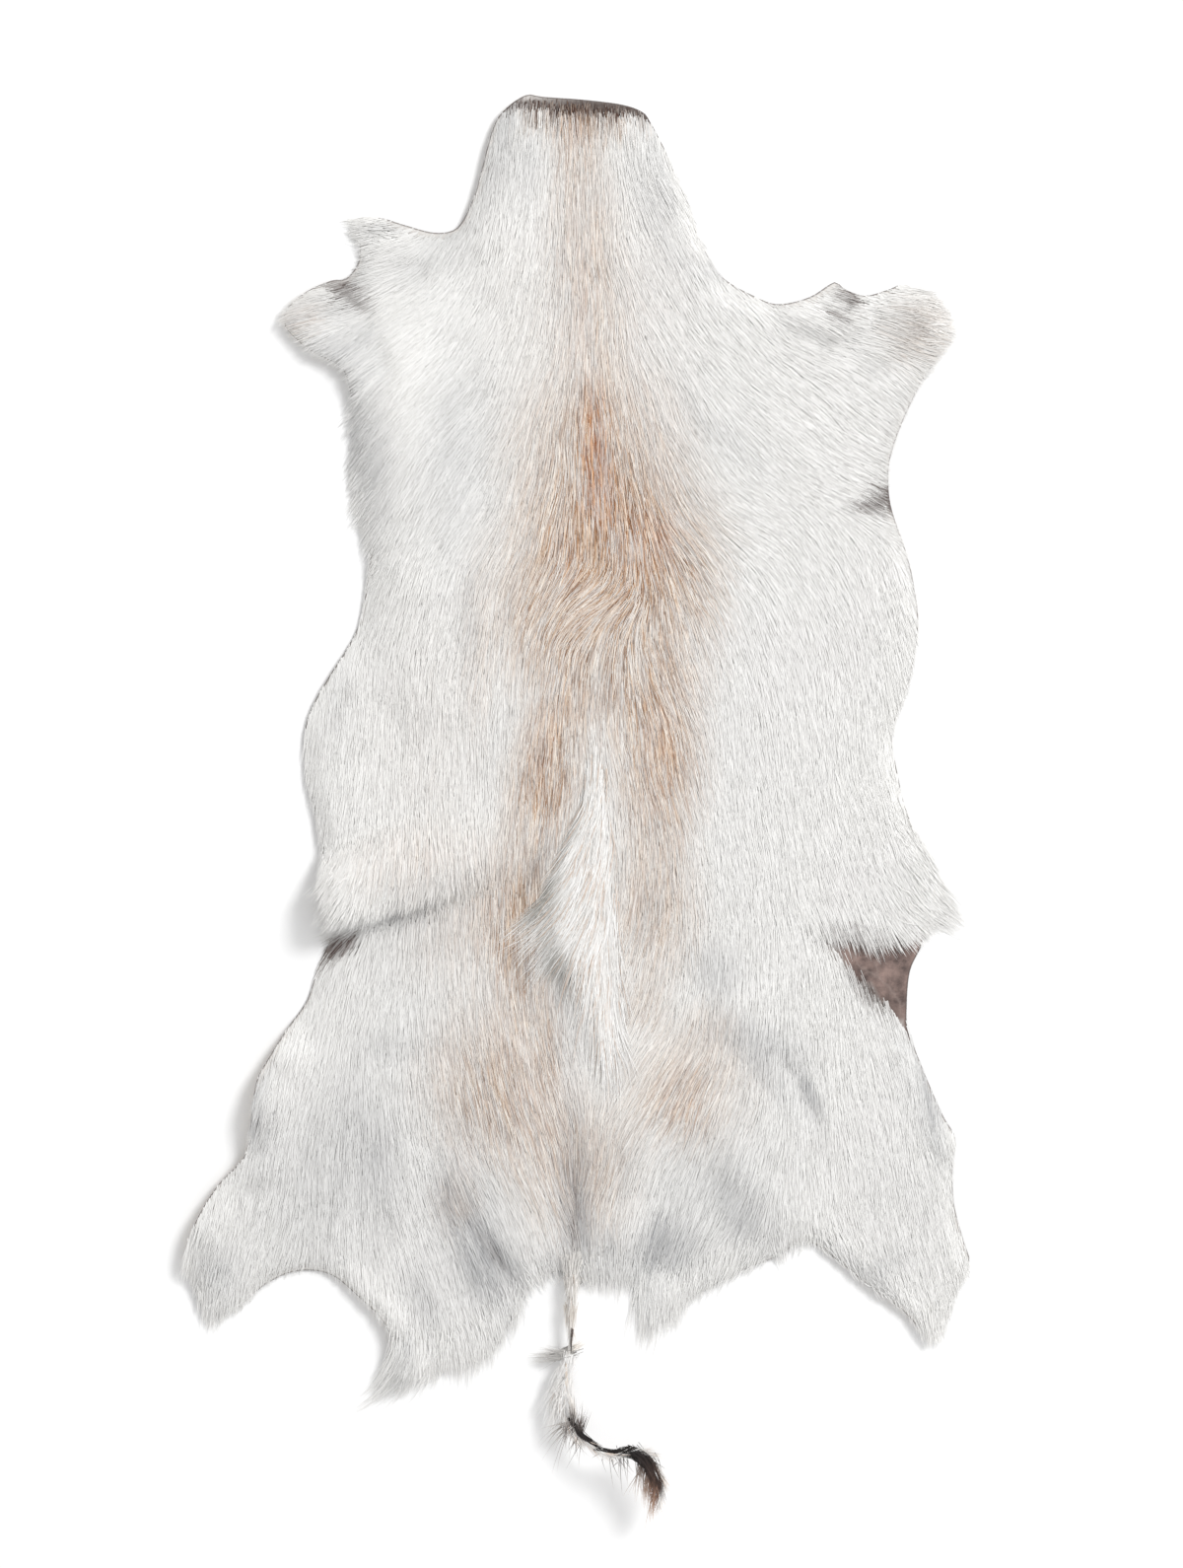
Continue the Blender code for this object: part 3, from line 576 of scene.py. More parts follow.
# Painted shade: grey laid on the coat in valleys and creases, under the flank fold, and on rims and
# slopes turned away from the light, with some grey where dark skin shows through thin hair
PAINTED_SHADE = records(Patch, (
    (-168, 270, 24, 84, 0.45), (-66, -366, 15, 50, 0.9, 35, 0.9), (-100, -322, 30, 54, 0.5, 25),
    (-92, -262, 60, 60, 0.15), (70, -356, 34, 36, 0.65), (24, -362, 26, 32, 0.5),
    (120, -318, 30, 46, 0.5, 20), (-7, -300, 16, 100, 0.5), (30, -290, 30, 60, 0.25),
    (-170, -285, 36, 90, 0.4, 12), (-260, -255, 28, 64, 0.45, 10), (-160, -100, 74, 20, 0.45, 8),
    (-128, -405, 28, 52, 0.35, 20), (150, -350, 44, 40, 0.3), (-36, -132, 16, 32, 0.3, -10),
    (186, -234, 8, 32, 0.75, 34, 0.9), (134, 286, 18, 50, 0.2, 38), (-72, 508, 20, 62, 0.3, -10),
    (-140, 262, 50, 80, 0.14), (-214, 396, 30, 30, 0.3), (-186, 372, 30, 16, 0.2, 20),
    (250, -378, 40, 16, 0.35, 40), (-118, 462, 44, 22, 0.3, 8), (-196, 70, 16, 60, 0.15),
    (-186, 300, 16, 64, 0.5), (2, -336, 22, 62, 0.4), (-84, -350, 17, 30, 0.5, 30),
    (64, -364, 26, 34, 0.6), (-104, 220, 36, 120, 0.16), (-22, -170, 24, 60, 0.3, 20),
    (-130, 438, 60, 34, 0.3, 8), (-190, 370, 30, 50, 0.3), (146, -196, 68, 26, 0.45, -14),
    (184, -244, 18, 52, 0.3, 20), (282, -216, 7, 44, 0.6, 25), (96, -130, 26, 26, 0.25),
    (58, -362, 18, 42, 0.45), (-98, -350, 14, 62, 0.35, 25), (-22, -372, 16, 20, 0.4),
    (70, 500, 12, 60, 0.4, 22), (-62, 554, 14, 28, 0.45, -40), (284, -250, 16, 62, 0.6, 12),
    (132, -330, 28, 36, 0.45), (72, -362, 42, 36, 0.5), (0, -345, 12, 42, 0.5),
    (-80, -372, 28, 48, 0.5, 25), (-150, -198, 54, 22, 0.3), (-292, -384, 30, 40, 0.4),
    (-272, -240, 14, 62, 0.5, 12), (-72, 40, 20, 54, 0.15), (56, -92, 30, 44, 0.15),
    (-15, 420, 18, 60, 0.12), (-48, 505, 26, 80, 0.2), (60, 480, 22, 90, 0.25, 22),
    (-96, 285, 56, 140, 0.34), (-184, 345, 34, 80, 0.35), (268, -200, 26, 90, 0.3),
    (-276, -246, 22, 60, 0.3, 20), (-190, -290, 90, 120, 0.25), (-90, -340, 64, 84, 0.3),
    (-8, -320, 26, 96, 0.35), (100, -310, 84, 94, 0.32), (-126, -84, 70, 12, 0.35, 13),
    (-300, -370, 22, 44, 0.35, 10), (-120, -62, 84, 14, 0.25, 13), (276, 388, 34, 44, 0.3, -30),
    (-234, 394, 13, 20, 0.5), (-230, -320, 90, 120, 0.22), (-150, -160, 110, 90, 0.06),
    (262, -320, 70, 90, 0.1), (62, -366, 50, 26, 0.5), (128, -342, 24, 24, 0.4),
    (-8, -335, 9, 50, 0.5), (-74, -384, 20, 40, 0.4, 30), (-142, -446, 14, 30, 0.4),
    (148, -218, 16, 60, 0.45, 43), (-112, 310, 24, 60, 0.25), (-182, 428, 20, 40, 0.3),
    (-196, 340, 20, 30, 0.5), (-40, 520, 20, 40, 0.25), (286, -255, 16, 40, 0.3),
    (-42, -124, 28, 38, 0.7), (112, -140, 30, 38, 0.4), (142, -190, 60, 18, 0.3, -30),
    (-70, -388, 44, 50, 0.35, 20), (-90, 150, 18, 110, 0.25), (-180, 280, 30, 40, 0.3),
    (112, 428, 46, 18, 0.35, -24), (-62, 540, 18, 40, 0.3, -20), (56, 540, 16, 40, 0.3, 20),
    (102, 306, 20, 60, 0.25, 30), (-170, 466, 30, 12, 0.35), (-276, -240, 16, 60, 0.4, 15),
    (232, -386, 60, 16, 0.4, -38), (-210, 372, 34, 14, 0.5, -35),
))
# Dark hair and bare dark skin at the groins, armpits, shoulders and neck, a dark line along the bare
# right groin's upper edge, and painted shade in three creases: at the tail root, left of the back fan
# and in the left rump's valley
DARK_HAIR_AND_CREASE_SHADE = records(Patch, (
    (-200, -120, 25, 12, 0.95, 34, 0.7), (249, 250, 12, 20, 0.95, 0, 0.7),
    (237, 242, 20, 9, 0.8, 15, 0.9), (-198, 418, 25, 13, 0.75, -12, 0.8),
    (-184, 406, 24, 11, 0.6, -28), (226, 411, 14, 14, 0.85, -30, 0.7), (214, 396, 15, 5, 0.9, 20),
    (2, 562, 92, 15.5, 0.97, -3, 0.42), (-2, 559, 38, 14, 0.6, -4), (226, -107, 46, 6, 0.6, -8),
    (238, -157, 44, 12, 0.8, -42), (-4, -338, 4, 66, 0.6, 0, 0.9), (-38, -60, 11, 50, 0.42, -24),
    (-68, -366, 7, 36, 0.35, 35),
))

# The back fan: long white hair rooted along the spine that sweeps to the lower left
FAN_ROOTS = (
    (10, 66), (3, 33), (0, -1), (-8, -25), (-18, -49), (-26, -70), (-20, -90), (-3, -113),
    (6, -145), (11, -180), (22, -204), (32, -180), (34, -129), (34, -89), (31, -49), (27, -9),
    (22, 33),
)
FAN_LIE = (
    (11, 47, 0, -1), (16, 10, -0.1, -1), (20, -30, -0.1, -1), (22, -80, -0.05, -1),
    (22, -130, 0.03, -1), (24, -180, 0.1, -1), (22, -210, 0.05, -1), (2, -10, -0.45, -1),
    (32, -20, 0.14, -1), (34, -80, -0.02, -1), (34, -140, 0.16, -1), (36, -190, 0.3, -1),
    (-8, -35, -0.6, -1), (-18, -60, -0.75, -1), (-30, -85, -0.95, -1), (-38, -100, -1, -0.9),
    (5, -45, -0.3, -1), (0, -80, -0.5, -1), (-12, -100, -0.7, -1), (-22, -115, -0.7, -1),
    (2, -120, -0.3, -1), (10, -150, -0.12, -1), (0, -160, -0.15, -1), (8, -200, 0, -1),
    (4, -230, 0.1, -1),
)
FAN_RIDGE = Ridge(
    (
        (12, 50, 0), (14, 10, 2), (12, -30, 4), (8, -70, 5), (6, -110, 4.5), (10, -150, 4),
        (14, -190, 2.5), (14, -230, 0.5),
    ), 14, 46,
)
# Painted shade on the left and lower part of the back fan, whose hair there faces away from the light
FAN_PAINTED_SHADE = records(Patch, (
    (-34, -78, 24, 50, 0.85, -20, 0.9), (-20, -134, 18, 54, 0.7, 12, 0.9),
    (-14, -30, 9, 40, 0.4, -20, 0.9),
))


class TailStation(NamedTuple):
    """One place along the middle of the tail."""

    x: float
    y: float
    half_width: float
    lift: float
    thickness: float


TAIL = records(TailStation, (
    (-7, -376, 3.5, 5, 4.0),
    (-8, -392, 4.5, 8, 5.0),
    (-8, -410, 3.6, 9, 4.5),
    (-8, -426, 2.4, 10, 4.0),
    (-9, -437, 2.8, 10, 4.0),
    (-12, -450, 5.0, 9, 6.0),
    (-16, -464, 6.0, 9, 7.0),
    (-17, -477, 6.0, 10, 7.0),
    (-14, -491, 5.0, 12, 6.0),
    (-7, -502, 4.0, 16, 5.0),
    (3, -511, 3.0, 22, 4.0),
    (14, -518, 2.6, 27, 3.6),
    (26, -521, 2.4, 31, 3.4),
    (39, -518, 2.6, 33, 3.4),
    (51, -520, 3.0, 33, 4.0),
    (60, -530, 3.4, 32, 4.6),
    (65, -543, 3.0, 31, 4.0),
    (64, -556, 2.0, 30, 3.0),
))

# Length of the tail's hair at places along it, by their distance down from the middle
TAIL_HAIR = ((380, 0.9), (400, 0.8), (430, 0.5), (450, 1), (500, 0.9), (560, 0.7))


class Lock(NamedTuple):
    """A tapering lock of hair: where it grows and ends, and how it is bent and coloured."""

    root: tuple
    tip: tuple
    bow: float
    root_spread: float
    tip_spread: float
    hairs: int
    root_colour: str
    tip_colour: str


# Locks that stand away from the tail, from its root to its tip
TAIL_LOCKS = records(Lock, (
    ((-7, -364, 4), (-9, -398, 10), 0.5, 7, 4, 200, "#d9d6d2", "#efedea"),
    ((-8, -382, 9), (-8, -416, 11), 0.5, 6, 4, 180, "#dcd8d3", "#f3f0ec"),
    ((-8, -404, 11), (-8, -434, 11), 0, 5, 3.5, 140, "#ddd6cd", "#f1ede8"),
    ((-7, -422, 15), (-8, -444, 13), 0, 0.8, 0.8, 12, "#5c504c", "#3a3230"),
    ((-7, -440, 11), (-43, -447, 3), 3, 5, 8, 90, "#a9a6a3", "#e3e1de"),
    ((-8, -441, 11), (-34, -440, 4), 2, 4, 6, 60, "#c2bfbb", "#efedeb"),
    ((-7, -438, 11), (5, -432, 8), -1, 3, 4, 30, "#d9d2c9", "#f1ede8"),
    ((-9, -446, 12), (-15, -478, 12), -1, 5, 6, 170, "#f4f2f0", "#fcfbfa"),
    ((-11, -452, 12), (-24, -480, 9), -3, 6, 8, 170, "#f1efed", "#fcfbfa"),
    ((-14, -462, 13), (-27, -494, 9), -4, 6, 9, 170, "#f0eeeb", "#fcfbfa"),
    ((-15, -474, 14), (-24, -508, 11), -4, 6, 10, 150, "#eeebe8", "#faf9f7"),
    ((-12, -466, 14), (-10, -500, 16), 1, 6, 7, 190, "#f1efed", "#fcfbfa"),
    ((-10, -478, 14), (-5, -504, 18), 1, 5, 6, 110, "#f1ece6", "#faf7f4"),
    ((-12, -450, 17), (-12, -490, 18), 2, 1.2, 3, 4, "#dccdbd", "#eee4da"),
    ((-9, -497, 17), (-26, -514, 12), -3, 4, 14, 30, "#8d8682", "#dedad6"),
    ((-6, -500, 19), (-18, -522, 14), -3, 5, 15, 24, "#5f5753", "#bfb8b4"),
    ((-2, -504, 21), (-6, -528, 17), -2, 6, 14, 18, "#4a4340", "#b5aea9"),
    ((-6, -500, 19), (-7, -482, 22), 0, 2.6, 6, 26, "#3c3634", "#a39b96"),
    ((-1, -504, 21), (1, -485, 25), 0, 4, 8, 34, "#342e2c", "#8f8580"),
    ((-10, -493, 17), (4, -511, 25), 1, 0.9, 2.4, 90, "#2b2625", "#241f1e"),
    ((-2, -504, 22), (20, -519, 30), -1, 2.2, 1.8, 100, "#262120", "#221d1c"),
    ((12, -517, 28), (36, -519, 33), -1, 1.8, 2.4, 110, "#241f1e", "#231e1d"),
    ((22, -520, 30), (17, -540, 26), -1, 6, 14, 7, "#3c3633", "#b9b1ac"),
    ((29, -521, 31), (30, -546, 27), -1, 7, 13, 10, "#3c3633", "#b9b1ac"),
    ((36, -520, 32), (41, -546, 28), -1, 5, 12, 7, "#3c3633", "#b9b1ac"),
    ((30, -519, 33), (50, -518, 36), 2, 3, 5, 130, "#231e1d", "#292322"),
    ((38, -517, 35), (60, -530, 36), 4, 4, 6, 170, "#231e1d", "#2c2523"),
    ((44, -519, 36), (65, -546, 35), 6, 5, 5, 170, "#252020", "#3d2f2a"),
    ((52, -523, 36), (66, -556, 33), 4, 5, 5, 110, "#2a2322", "#5f483e"),
    ((59, -534, 34), (62, -568, 31), -3, 4, 4, 56, "#3c302c", "#b58d77"),
    ((62, -544, 33), (57, -577, 30), -3, 3, 4, 30, "#7a5848", "#d3b7a3"),
    ((55, -534, 33), (54, -566, 30), -3, 4, 6, 34, "#4f3e38", "#c9ad9b"),
    ((50, -524, 34), (47, -554, 29), -2, 5, 9, 34, "#4a3f3b", "#c9b6aa"),
    ((64, -540, 32), (66, -566, 29), -2, 3, 4, 24, "#5c463d", "#cfb3a1"),
))


# Building blocks

# The kinds of node that the hair's tree has most of, and what they work out
MATH = "ShaderNodeMath"
VECTOR_MATH = "ShaderNodeVectorMath"
RANDOM = "FunctionNodeRandomValue"
FLOAT, VECTOR, WHOLE = ({"data_type": name} for name in ("FLOAT", "FLOAT_VECTOR", "INT"))
ADD, SUBTRACT, MULTIPLY, DIVIDE, SCALE, PROJECT, NORMALIZE = (
    {"operation": name}
    for name in ("ADD", "SUBTRACT", "MULTIPLY", "DIVIDE", "SCALE", "PROJECT", "NORMALIZE")
)


def linear(hex_colour: str) -> np.ndarray:
    """Turns an sRGB hex colour into linear red, green and blue."""
    parts = np.array([int(hex_colour[i:i + 2], 16) / 255 for i in (1, 3, 5)])
    return np.where(parts <= 0.04045, parts / 12.92, ((parts + 0.055) / 1.055) ** 2.4)


def add_node(tree: bpy.types.NodeTree, kind: str, settings: dict, inputs: dict) -> bpy.types.Node:
    """Adds a node to a tree.

    Args:
        tree: The tree.
        kind: The node's type.
        settings: The node's properties by name.
        inputs: For each input, by name or number, a value, the output that feeds it, or the node
            whose first output feeds it.

    Returns:
        The new node.
    """
    node = tree.nodes.new(kind)
    for name, value in settings.items():
        setattr(node, name, value)
    for key, value in inputs.items():
        if isinstance(value, bpy.types.Node):
            value = value.outputs[0]
        if isinstance(value, bpy.types.NodeSocket):
            tree.links.new(value, node.inputs[key])
        else:
            node.inputs[key].default_value = value
    return node


def mesh_object(name: str, vertices: np.ndarray, faces: np.ndarray) -> bpy.types.Object:
    """Makes a mesh object from positions in metres and links it to the scene."""
    mesh = bpy.data.meshes.new(name)
    mesh.from_pydata(vertices.tolist(), [], faces.tolist())
    obj = bpy.data.objects.new(name, mesh)
    bpy.context.scene.collection.objects.link(obj)
    return obj


def set_attribute(mesh: bpy.types.Mesh, name: str, kind: str, values: np.ndarray) -> None:
    """Stores one value for each vertex of a mesh.

    Args:
        mesh: The mesh.
        name: Name of the attribute.
        kind: Its type: FLOAT, FLOAT_VECTOR or FLOAT_COLOR.
        values: One number or row of numbers for each vertex.
    """
    attribute = mesh.attributes.new(name, kind, "POINT")
    key = {"FLOAT": "value", "FLOAT_VECTOR": "vector", "FLOAT_COLOR": "color"}[kind]
    attribute.data.foreach_set(key, np.asarray(values, np.float32).ravel())


def get_attribute(mesh: bpy.types.Mesh, name: str, width: int) -> np.ndarray:
    """Reads one value, or one row of numbers, for each vertex of a mesh."""
    values = np.empty(len(mesh.vertices) * width, np.float32)
    key = "value" if width == 1 else "vector"
    mesh.attributes[name].data.foreach_get(key, values)
    return values if width == 1 else values.reshape(-1, width)


def set_hair_colour(mesh: bpy.types.Mesh, rows: np.ndarray) -> None:
    """Stores the linear red, green and blue of each vertex of a hair mesh."""
    set_attribute(mesh, "hair_colour", "FLOAT_COLOR", np.column_stack([rows, np.ones(len(rows))]))


def vertex_positions(mesh: bpy.types.Mesh) -> np.ndarray:
    """Positions of a mesh's vertices, one row each."""
    values = np.empty(len(mesh.vertices) * 3, np.float32)
    mesh.vertices.foreach_get("co", values)
    return values.reshape(-1, 3)


def lay_plan_uv(mesh: bpy.types.Mesh) -> None:
    """Gives a mesh a UV map seen from above, so that hairs over one place share its colour."""
    positions = vertex_positions(mesh)[:, :2]
    low, high = positions.min(axis=0), positions.max(axis=0)
    plan = (positions - low) / (high - low) * (1.0 - 2 * UV_MARGIN) + UV_MARGIN
    corners = np.empty(len(mesh.loops), np.int32)
    mesh.loops.foreach_get("vertex_index", corners)
    layer = mesh.uv_layers.new(name="OFBake")
    layer.data.foreach_set("uv", plan[corners].astype(np.float32).ravel())


def dress_skin(obj: bpy.types.Object, zones: dict, material: bpy.types.Material) -> None:
    """Marks the zones of a piece of skin and gives it its finish.

    Args:
        obj: The piece.
        zones: One number for each vertex, by the name of the zone.
        material: The finish.
    """
    for name, values in zones.items():
        set_attribute(obj.data, name, "FLOAT", values)
    obj.data.shade_smooth()
    obj.data.materials.append(material)


def finish_piece(obj: bpy.types.Object) -> None:
    """Attaches a piece to the body it rides on, hides the part that it stands for, and logs it."""
    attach(obj, BODY)
    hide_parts(NODE)
    log.info("%s: %d faces", obj.name, len(obj.data.polygons))


# Finishes


@dataclass(frozen=True)
class HairFinish:
    """Hollow springbok hair: keratin with a dry cuticle, so a soft satin sheen, never glassy."""

    name: str = "springbok_hair_keratin"
    roughness: float = 0.55
    specular: float = 0.25
    sheen: float = 0.25
    sheen_roughness: float = 0.5

    def material(self) -> bpy.types.Material:
        """Builds the material, whose colour comes from each hair's own attribute."""
        material = bpy.data.materials.new(self.name)
        material.use_nodes = True
        tree = material.node_tree
        tree.nodes.clear()
        colour = add_node(tree, "ShaderNodeAttribute", {"attribute_name": "hair_colour"}, {})
        shader = add_node(tree, "ShaderNodeBsdfPrincipled", {}, {
            "Base Color": colour.outputs["Color"],
            "Roughness": self.roughness,
            "Specular IOR Level": self.specular,
            "Sheen Weight": self.sheen,
            "Sheen Roughness": self.sheen_roughness,
        })
        add_node(tree, "ShaderNodeOutputMaterial", {}, {"Surface": shader.outputs["BSDF"]})
        return material


@dataclass(frozen=True)
class LeatherFinish:
    """Tanned springbok skin: matt grained leather, dark and bare in the groin, suede below."""

    name: str = "tanned_hide_leather"
    bare: str = "#51423e"
    bare_pale: str = "#957e76"
    vein: str = "#9c8b84"
    suede: str = "#c9bba8"
    cut_edge: str = "#4a3f3b"
    # Painted shade: the leather under the hair takes a greyed coat colour, so the gaps between hairs
    # read as shaded hair
    shaded_under_coat: str = "#d8d4d0"
    # Dark hair's colour, also laid as painted shade in the creases of the dark table
    dark: str = "#4d403b"
    grain_mm: float = 1.6
    mottle_mm: float = 14.0
    vein_mm: float = 26.0
    vein_bend_mm: float = 30.0
    vein_cells: float = 0.6
    vein_width: float = 0.05
    vein_strength: float = 0.35
    grain_depth_mm: float = 0.3
    grain_strength: float = 0.35
    roughness: float = 0.62

    def material(self) -> bpy.types.Material:
        """Builds the material. The mesh says where the skin is bare, cut or turned down."""
        material = bpy.data.materials.new(self.name)
        material.use_nodes = True
        tree = material.node_tree
        tree.nodes.clear()
        place = add_node(tree, "ShaderNodeTexCoord", {}, {}).outputs["Object"]
        zones = {
            name: add_node(tree, "ShaderNodeAttribute", {"attribute_name": name}, {}).outputs["Fac"]
            for name in ("haired", "dark_hair_and_crease_shade", "downside", "cut_rim")
        }
        cloud = add_node(tree, "ShaderNodeTexNoise", {}, {
            "Vector": place, "Scale": 1 / (self.vein_mm * MM), "Detail": 5.0, "Roughness": 0.6,
        })
        grain = add_node(tree, "ShaderNodeTexVoronoi", {"feature": "DISTANCE_TO_EDGE"}, {
            "Vector": place, "Scale": 1 / (self.grain_mm * MM),
        })
        reach = self.vein_bend_mm * MM
        bend = add_node(tree, VECTOR_MATH, {"operation": "MULTIPLY_ADD"}, {
            0: cloud.outputs["Color"], 1: (reach, reach, 0.0), 2: place,
        })
        vein = add_node(tree, "ShaderNodeTexVoronoi", {"feature": "DISTANCE_TO_EDGE"}, {
            "Vector": bend, "Scale": self.vein_cells / (self.vein_mm * MM),
        })
        vein_line = add_node(tree, "ShaderNodeMapRange", {}, {
            "Value": vein.outputs["Distance"], "From Min": 0.0, "From Max": self.vein_width,
            "To Min": self.vein_strength, "To Max": 0.0,
        })
        mottle = add_node(tree, "ShaderNodeTexNoise", {}, {
            "Vector": place, "Scale": 1 / (self.mottle_mm * MM), "Detail": 6.0, "Roughness": 0.7,
        })
        mottled = add_node(tree, "ShaderNodeMapRange", {}, {
            "Value": mottle.outputs["Fac"], "From Min": 0.35, "From Max": 0.65,
        })
        steps = (
            (mottled.outputs["Result"], self.bare, self.bare_pale),
            (vein_line.outputs["Result"], None, self.vein),
            (zones["haired"], None, self.shaded_under_coat),
            (zones["dark_hair_and_crease_shade"], None, self.dark),
            (zones["downside"], None, self.suede),
            (zones["cut_rim"], None, self.cut_edge),
        )
        colour = None
        for share, first, second in steps:
            mix = add_node(tree, "ShaderNodeMix", {"data_type": "RGBA"}, {
                0: share, 7: (*linear(second), 1.0),
                6: (*linear(first), 1.0) if first else colour,
            })
            colour = mix.outputs[2]
        bump = add_node(tree, "ShaderNodeBump", {}, {
            "Strength": self.grain_strength, "Distance": self.grain_depth_mm * MM,
            "Height": grain.outputs["Distance"],
        })
        shader = add_node(tree, "ShaderNodeBsdfPrincipled", {}, {
            "Base Color": colour, "Roughness": self.roughness, "Normal": bump.outputs["Normal"],
        })
        add_node(tree, "ShaderNodeOutputMaterial", {}, {"Surface": shader.outputs["BSDF"]})
        return material


@dataclass(frozen=True)
class FloorFinish:
    """A pale painted studio floor, matt, so it takes soft shadows and shows no gloss."""

    name: str = "matt_white_floor_paint"
    colour: str = "#fafafa"
    roughness: float = 0.9
    specular: float = 0.1

    def material(self) -> bpy.types.Material:
        """Builds the material."""
        material = bpy.data.materials.new(self.name)
        material.use_nodes = True
        shader = material.node_tree.nodes["Principled BSDF"]
        shader.inputs["Base Color"].default_value = (*linear(self.colour), 1.0)
        shader.inputs["Roughness"].default_value = self.roughness
        shader.inputs["Specular IOR Level"].default_value = self.specular
        return material


class Hair(Enum):
    """The kinds of hair that the tree grows, which are coloured in different ways."""

    COAT = "coat"
    TAIL = "tail"


# The skin's form and the way its hair lies


@dataclass
class HairLie:
    """Which way the hair lies, from marks at listed places."""

    marks: np.ndarray
    softness: float = 16.0

    def directions(self, points: np.ndarray) -> np.ndarray:
        """Unit directions towards the tips at plan positions."""
        total = np.zeros((len(points), 2))
        for x, y, dx, dy in self.marks:
            size = math.hypot(dx, dy)
            weight = ((points[:, 0] - x) ** 2 + (points[:, 1] - y) ** 2 + self.softness ** 2) ** -2
            total += weight[:, None] * np.array((dx, dy)) / size
        return unit(total)


@dataclass
class HideForm:
    """The skin's outline, its folds, and the depth of the hair on it."""

    lie: HairLie
    edge_step: float = 4.5
    leather: float = 1.3
    edge_lift: float = 0.4
    pile: float = 6.0
    rim_width: float = 16.0
    root_share: float = 0.42
    plain_overhang: float = 1.2
    overhang_blend: int = 2
    leather_inset: float = 6.5
    least_inset: float = 0.3
    inset_overhang: float = 6.0
    inset_facing: float = 1.4
    inset_blend: int = 6
    least_pile: float = 1.0
    edge: np.ndarray = field(init=False)
    outward: np.ndarray = field(init=False)
    overhang: np.ndarray = field(init=False)

    def __post_init__(self) -> None:
        """Works the outline out from its marks."""
        marks = [mark for stretch in CUT_EDGE.values() for mark in stretch]
        self.edge = spline_through(marks, self.edge_step, True)
        self.outward = outward_from(self.edge)
        self.overhang = np.full(len(self.edge), self.plain_overhang)
        for rim in RIM:
            first, last = self.edge_index(rim.start), self.edge_index(rim.end)
            if first > last:
                self.overhang[first:] = rim.reach
                first = 0
            self.overhang[first:last + 1] = rim.reach
        self.overhang = blended_round(self.overhang, self.overhang_blend)

    def edge_index(self, place: tuple) -> int:
        """Index of the outline's point nearest to a place."""
        return int(np.argmin(np.linalg.norm(self.edge - np.asarray(place, float), axis=1)))

    def lift(self, points: np.ndarray) -> np.ndarray:
        """Height of the leather's underside over the floor."""
        return np.linalg.norm([ridge_height(points, fold) for fold in FOLDS], ord=4, axis=0)

    def depth(self, points: np.ndarray, distance: np.ndarray) -> np.ndarray:
        """Depth of the lying hair over the leather."""
        full = np.full(len(points), self.pile)
        for swell in SWELLS:
            full += ridge_height(points, swell)
        return np.maximum(full, self.least_pile) * smooth_step(distance / self.rim_width)

    def root_height(self, points: np.ndarray, distance: np.ndarray) -> np.ndarray:
        """Height of the surface that the visible hair starts from."""
        base = self.lift(points) + self.edge_lift + self.leather
        return base + self.root_share * self.depth(points, distance)

    def leather_ring(self) -> np.ndarray:
        """The leather's own edge, which hair that hangs outwards hides."""
        facing = np.sum(self.lie.directions(self.edge) * self.outward, axis=1)
        hidden = smooth_step(facing * self.inset_facing)
        hidden *= smooth_step(self.overhang / self.inset_overhang)
        inset = blended_round(self.leather_inset * hidden + self.least_inset, self.inset_blend)
        ring = self.edge - self.outward * inset[:, None]
        return without_loops(ring[ring_facts(ring, self.edge)[0] > RIM_GAP * inset])


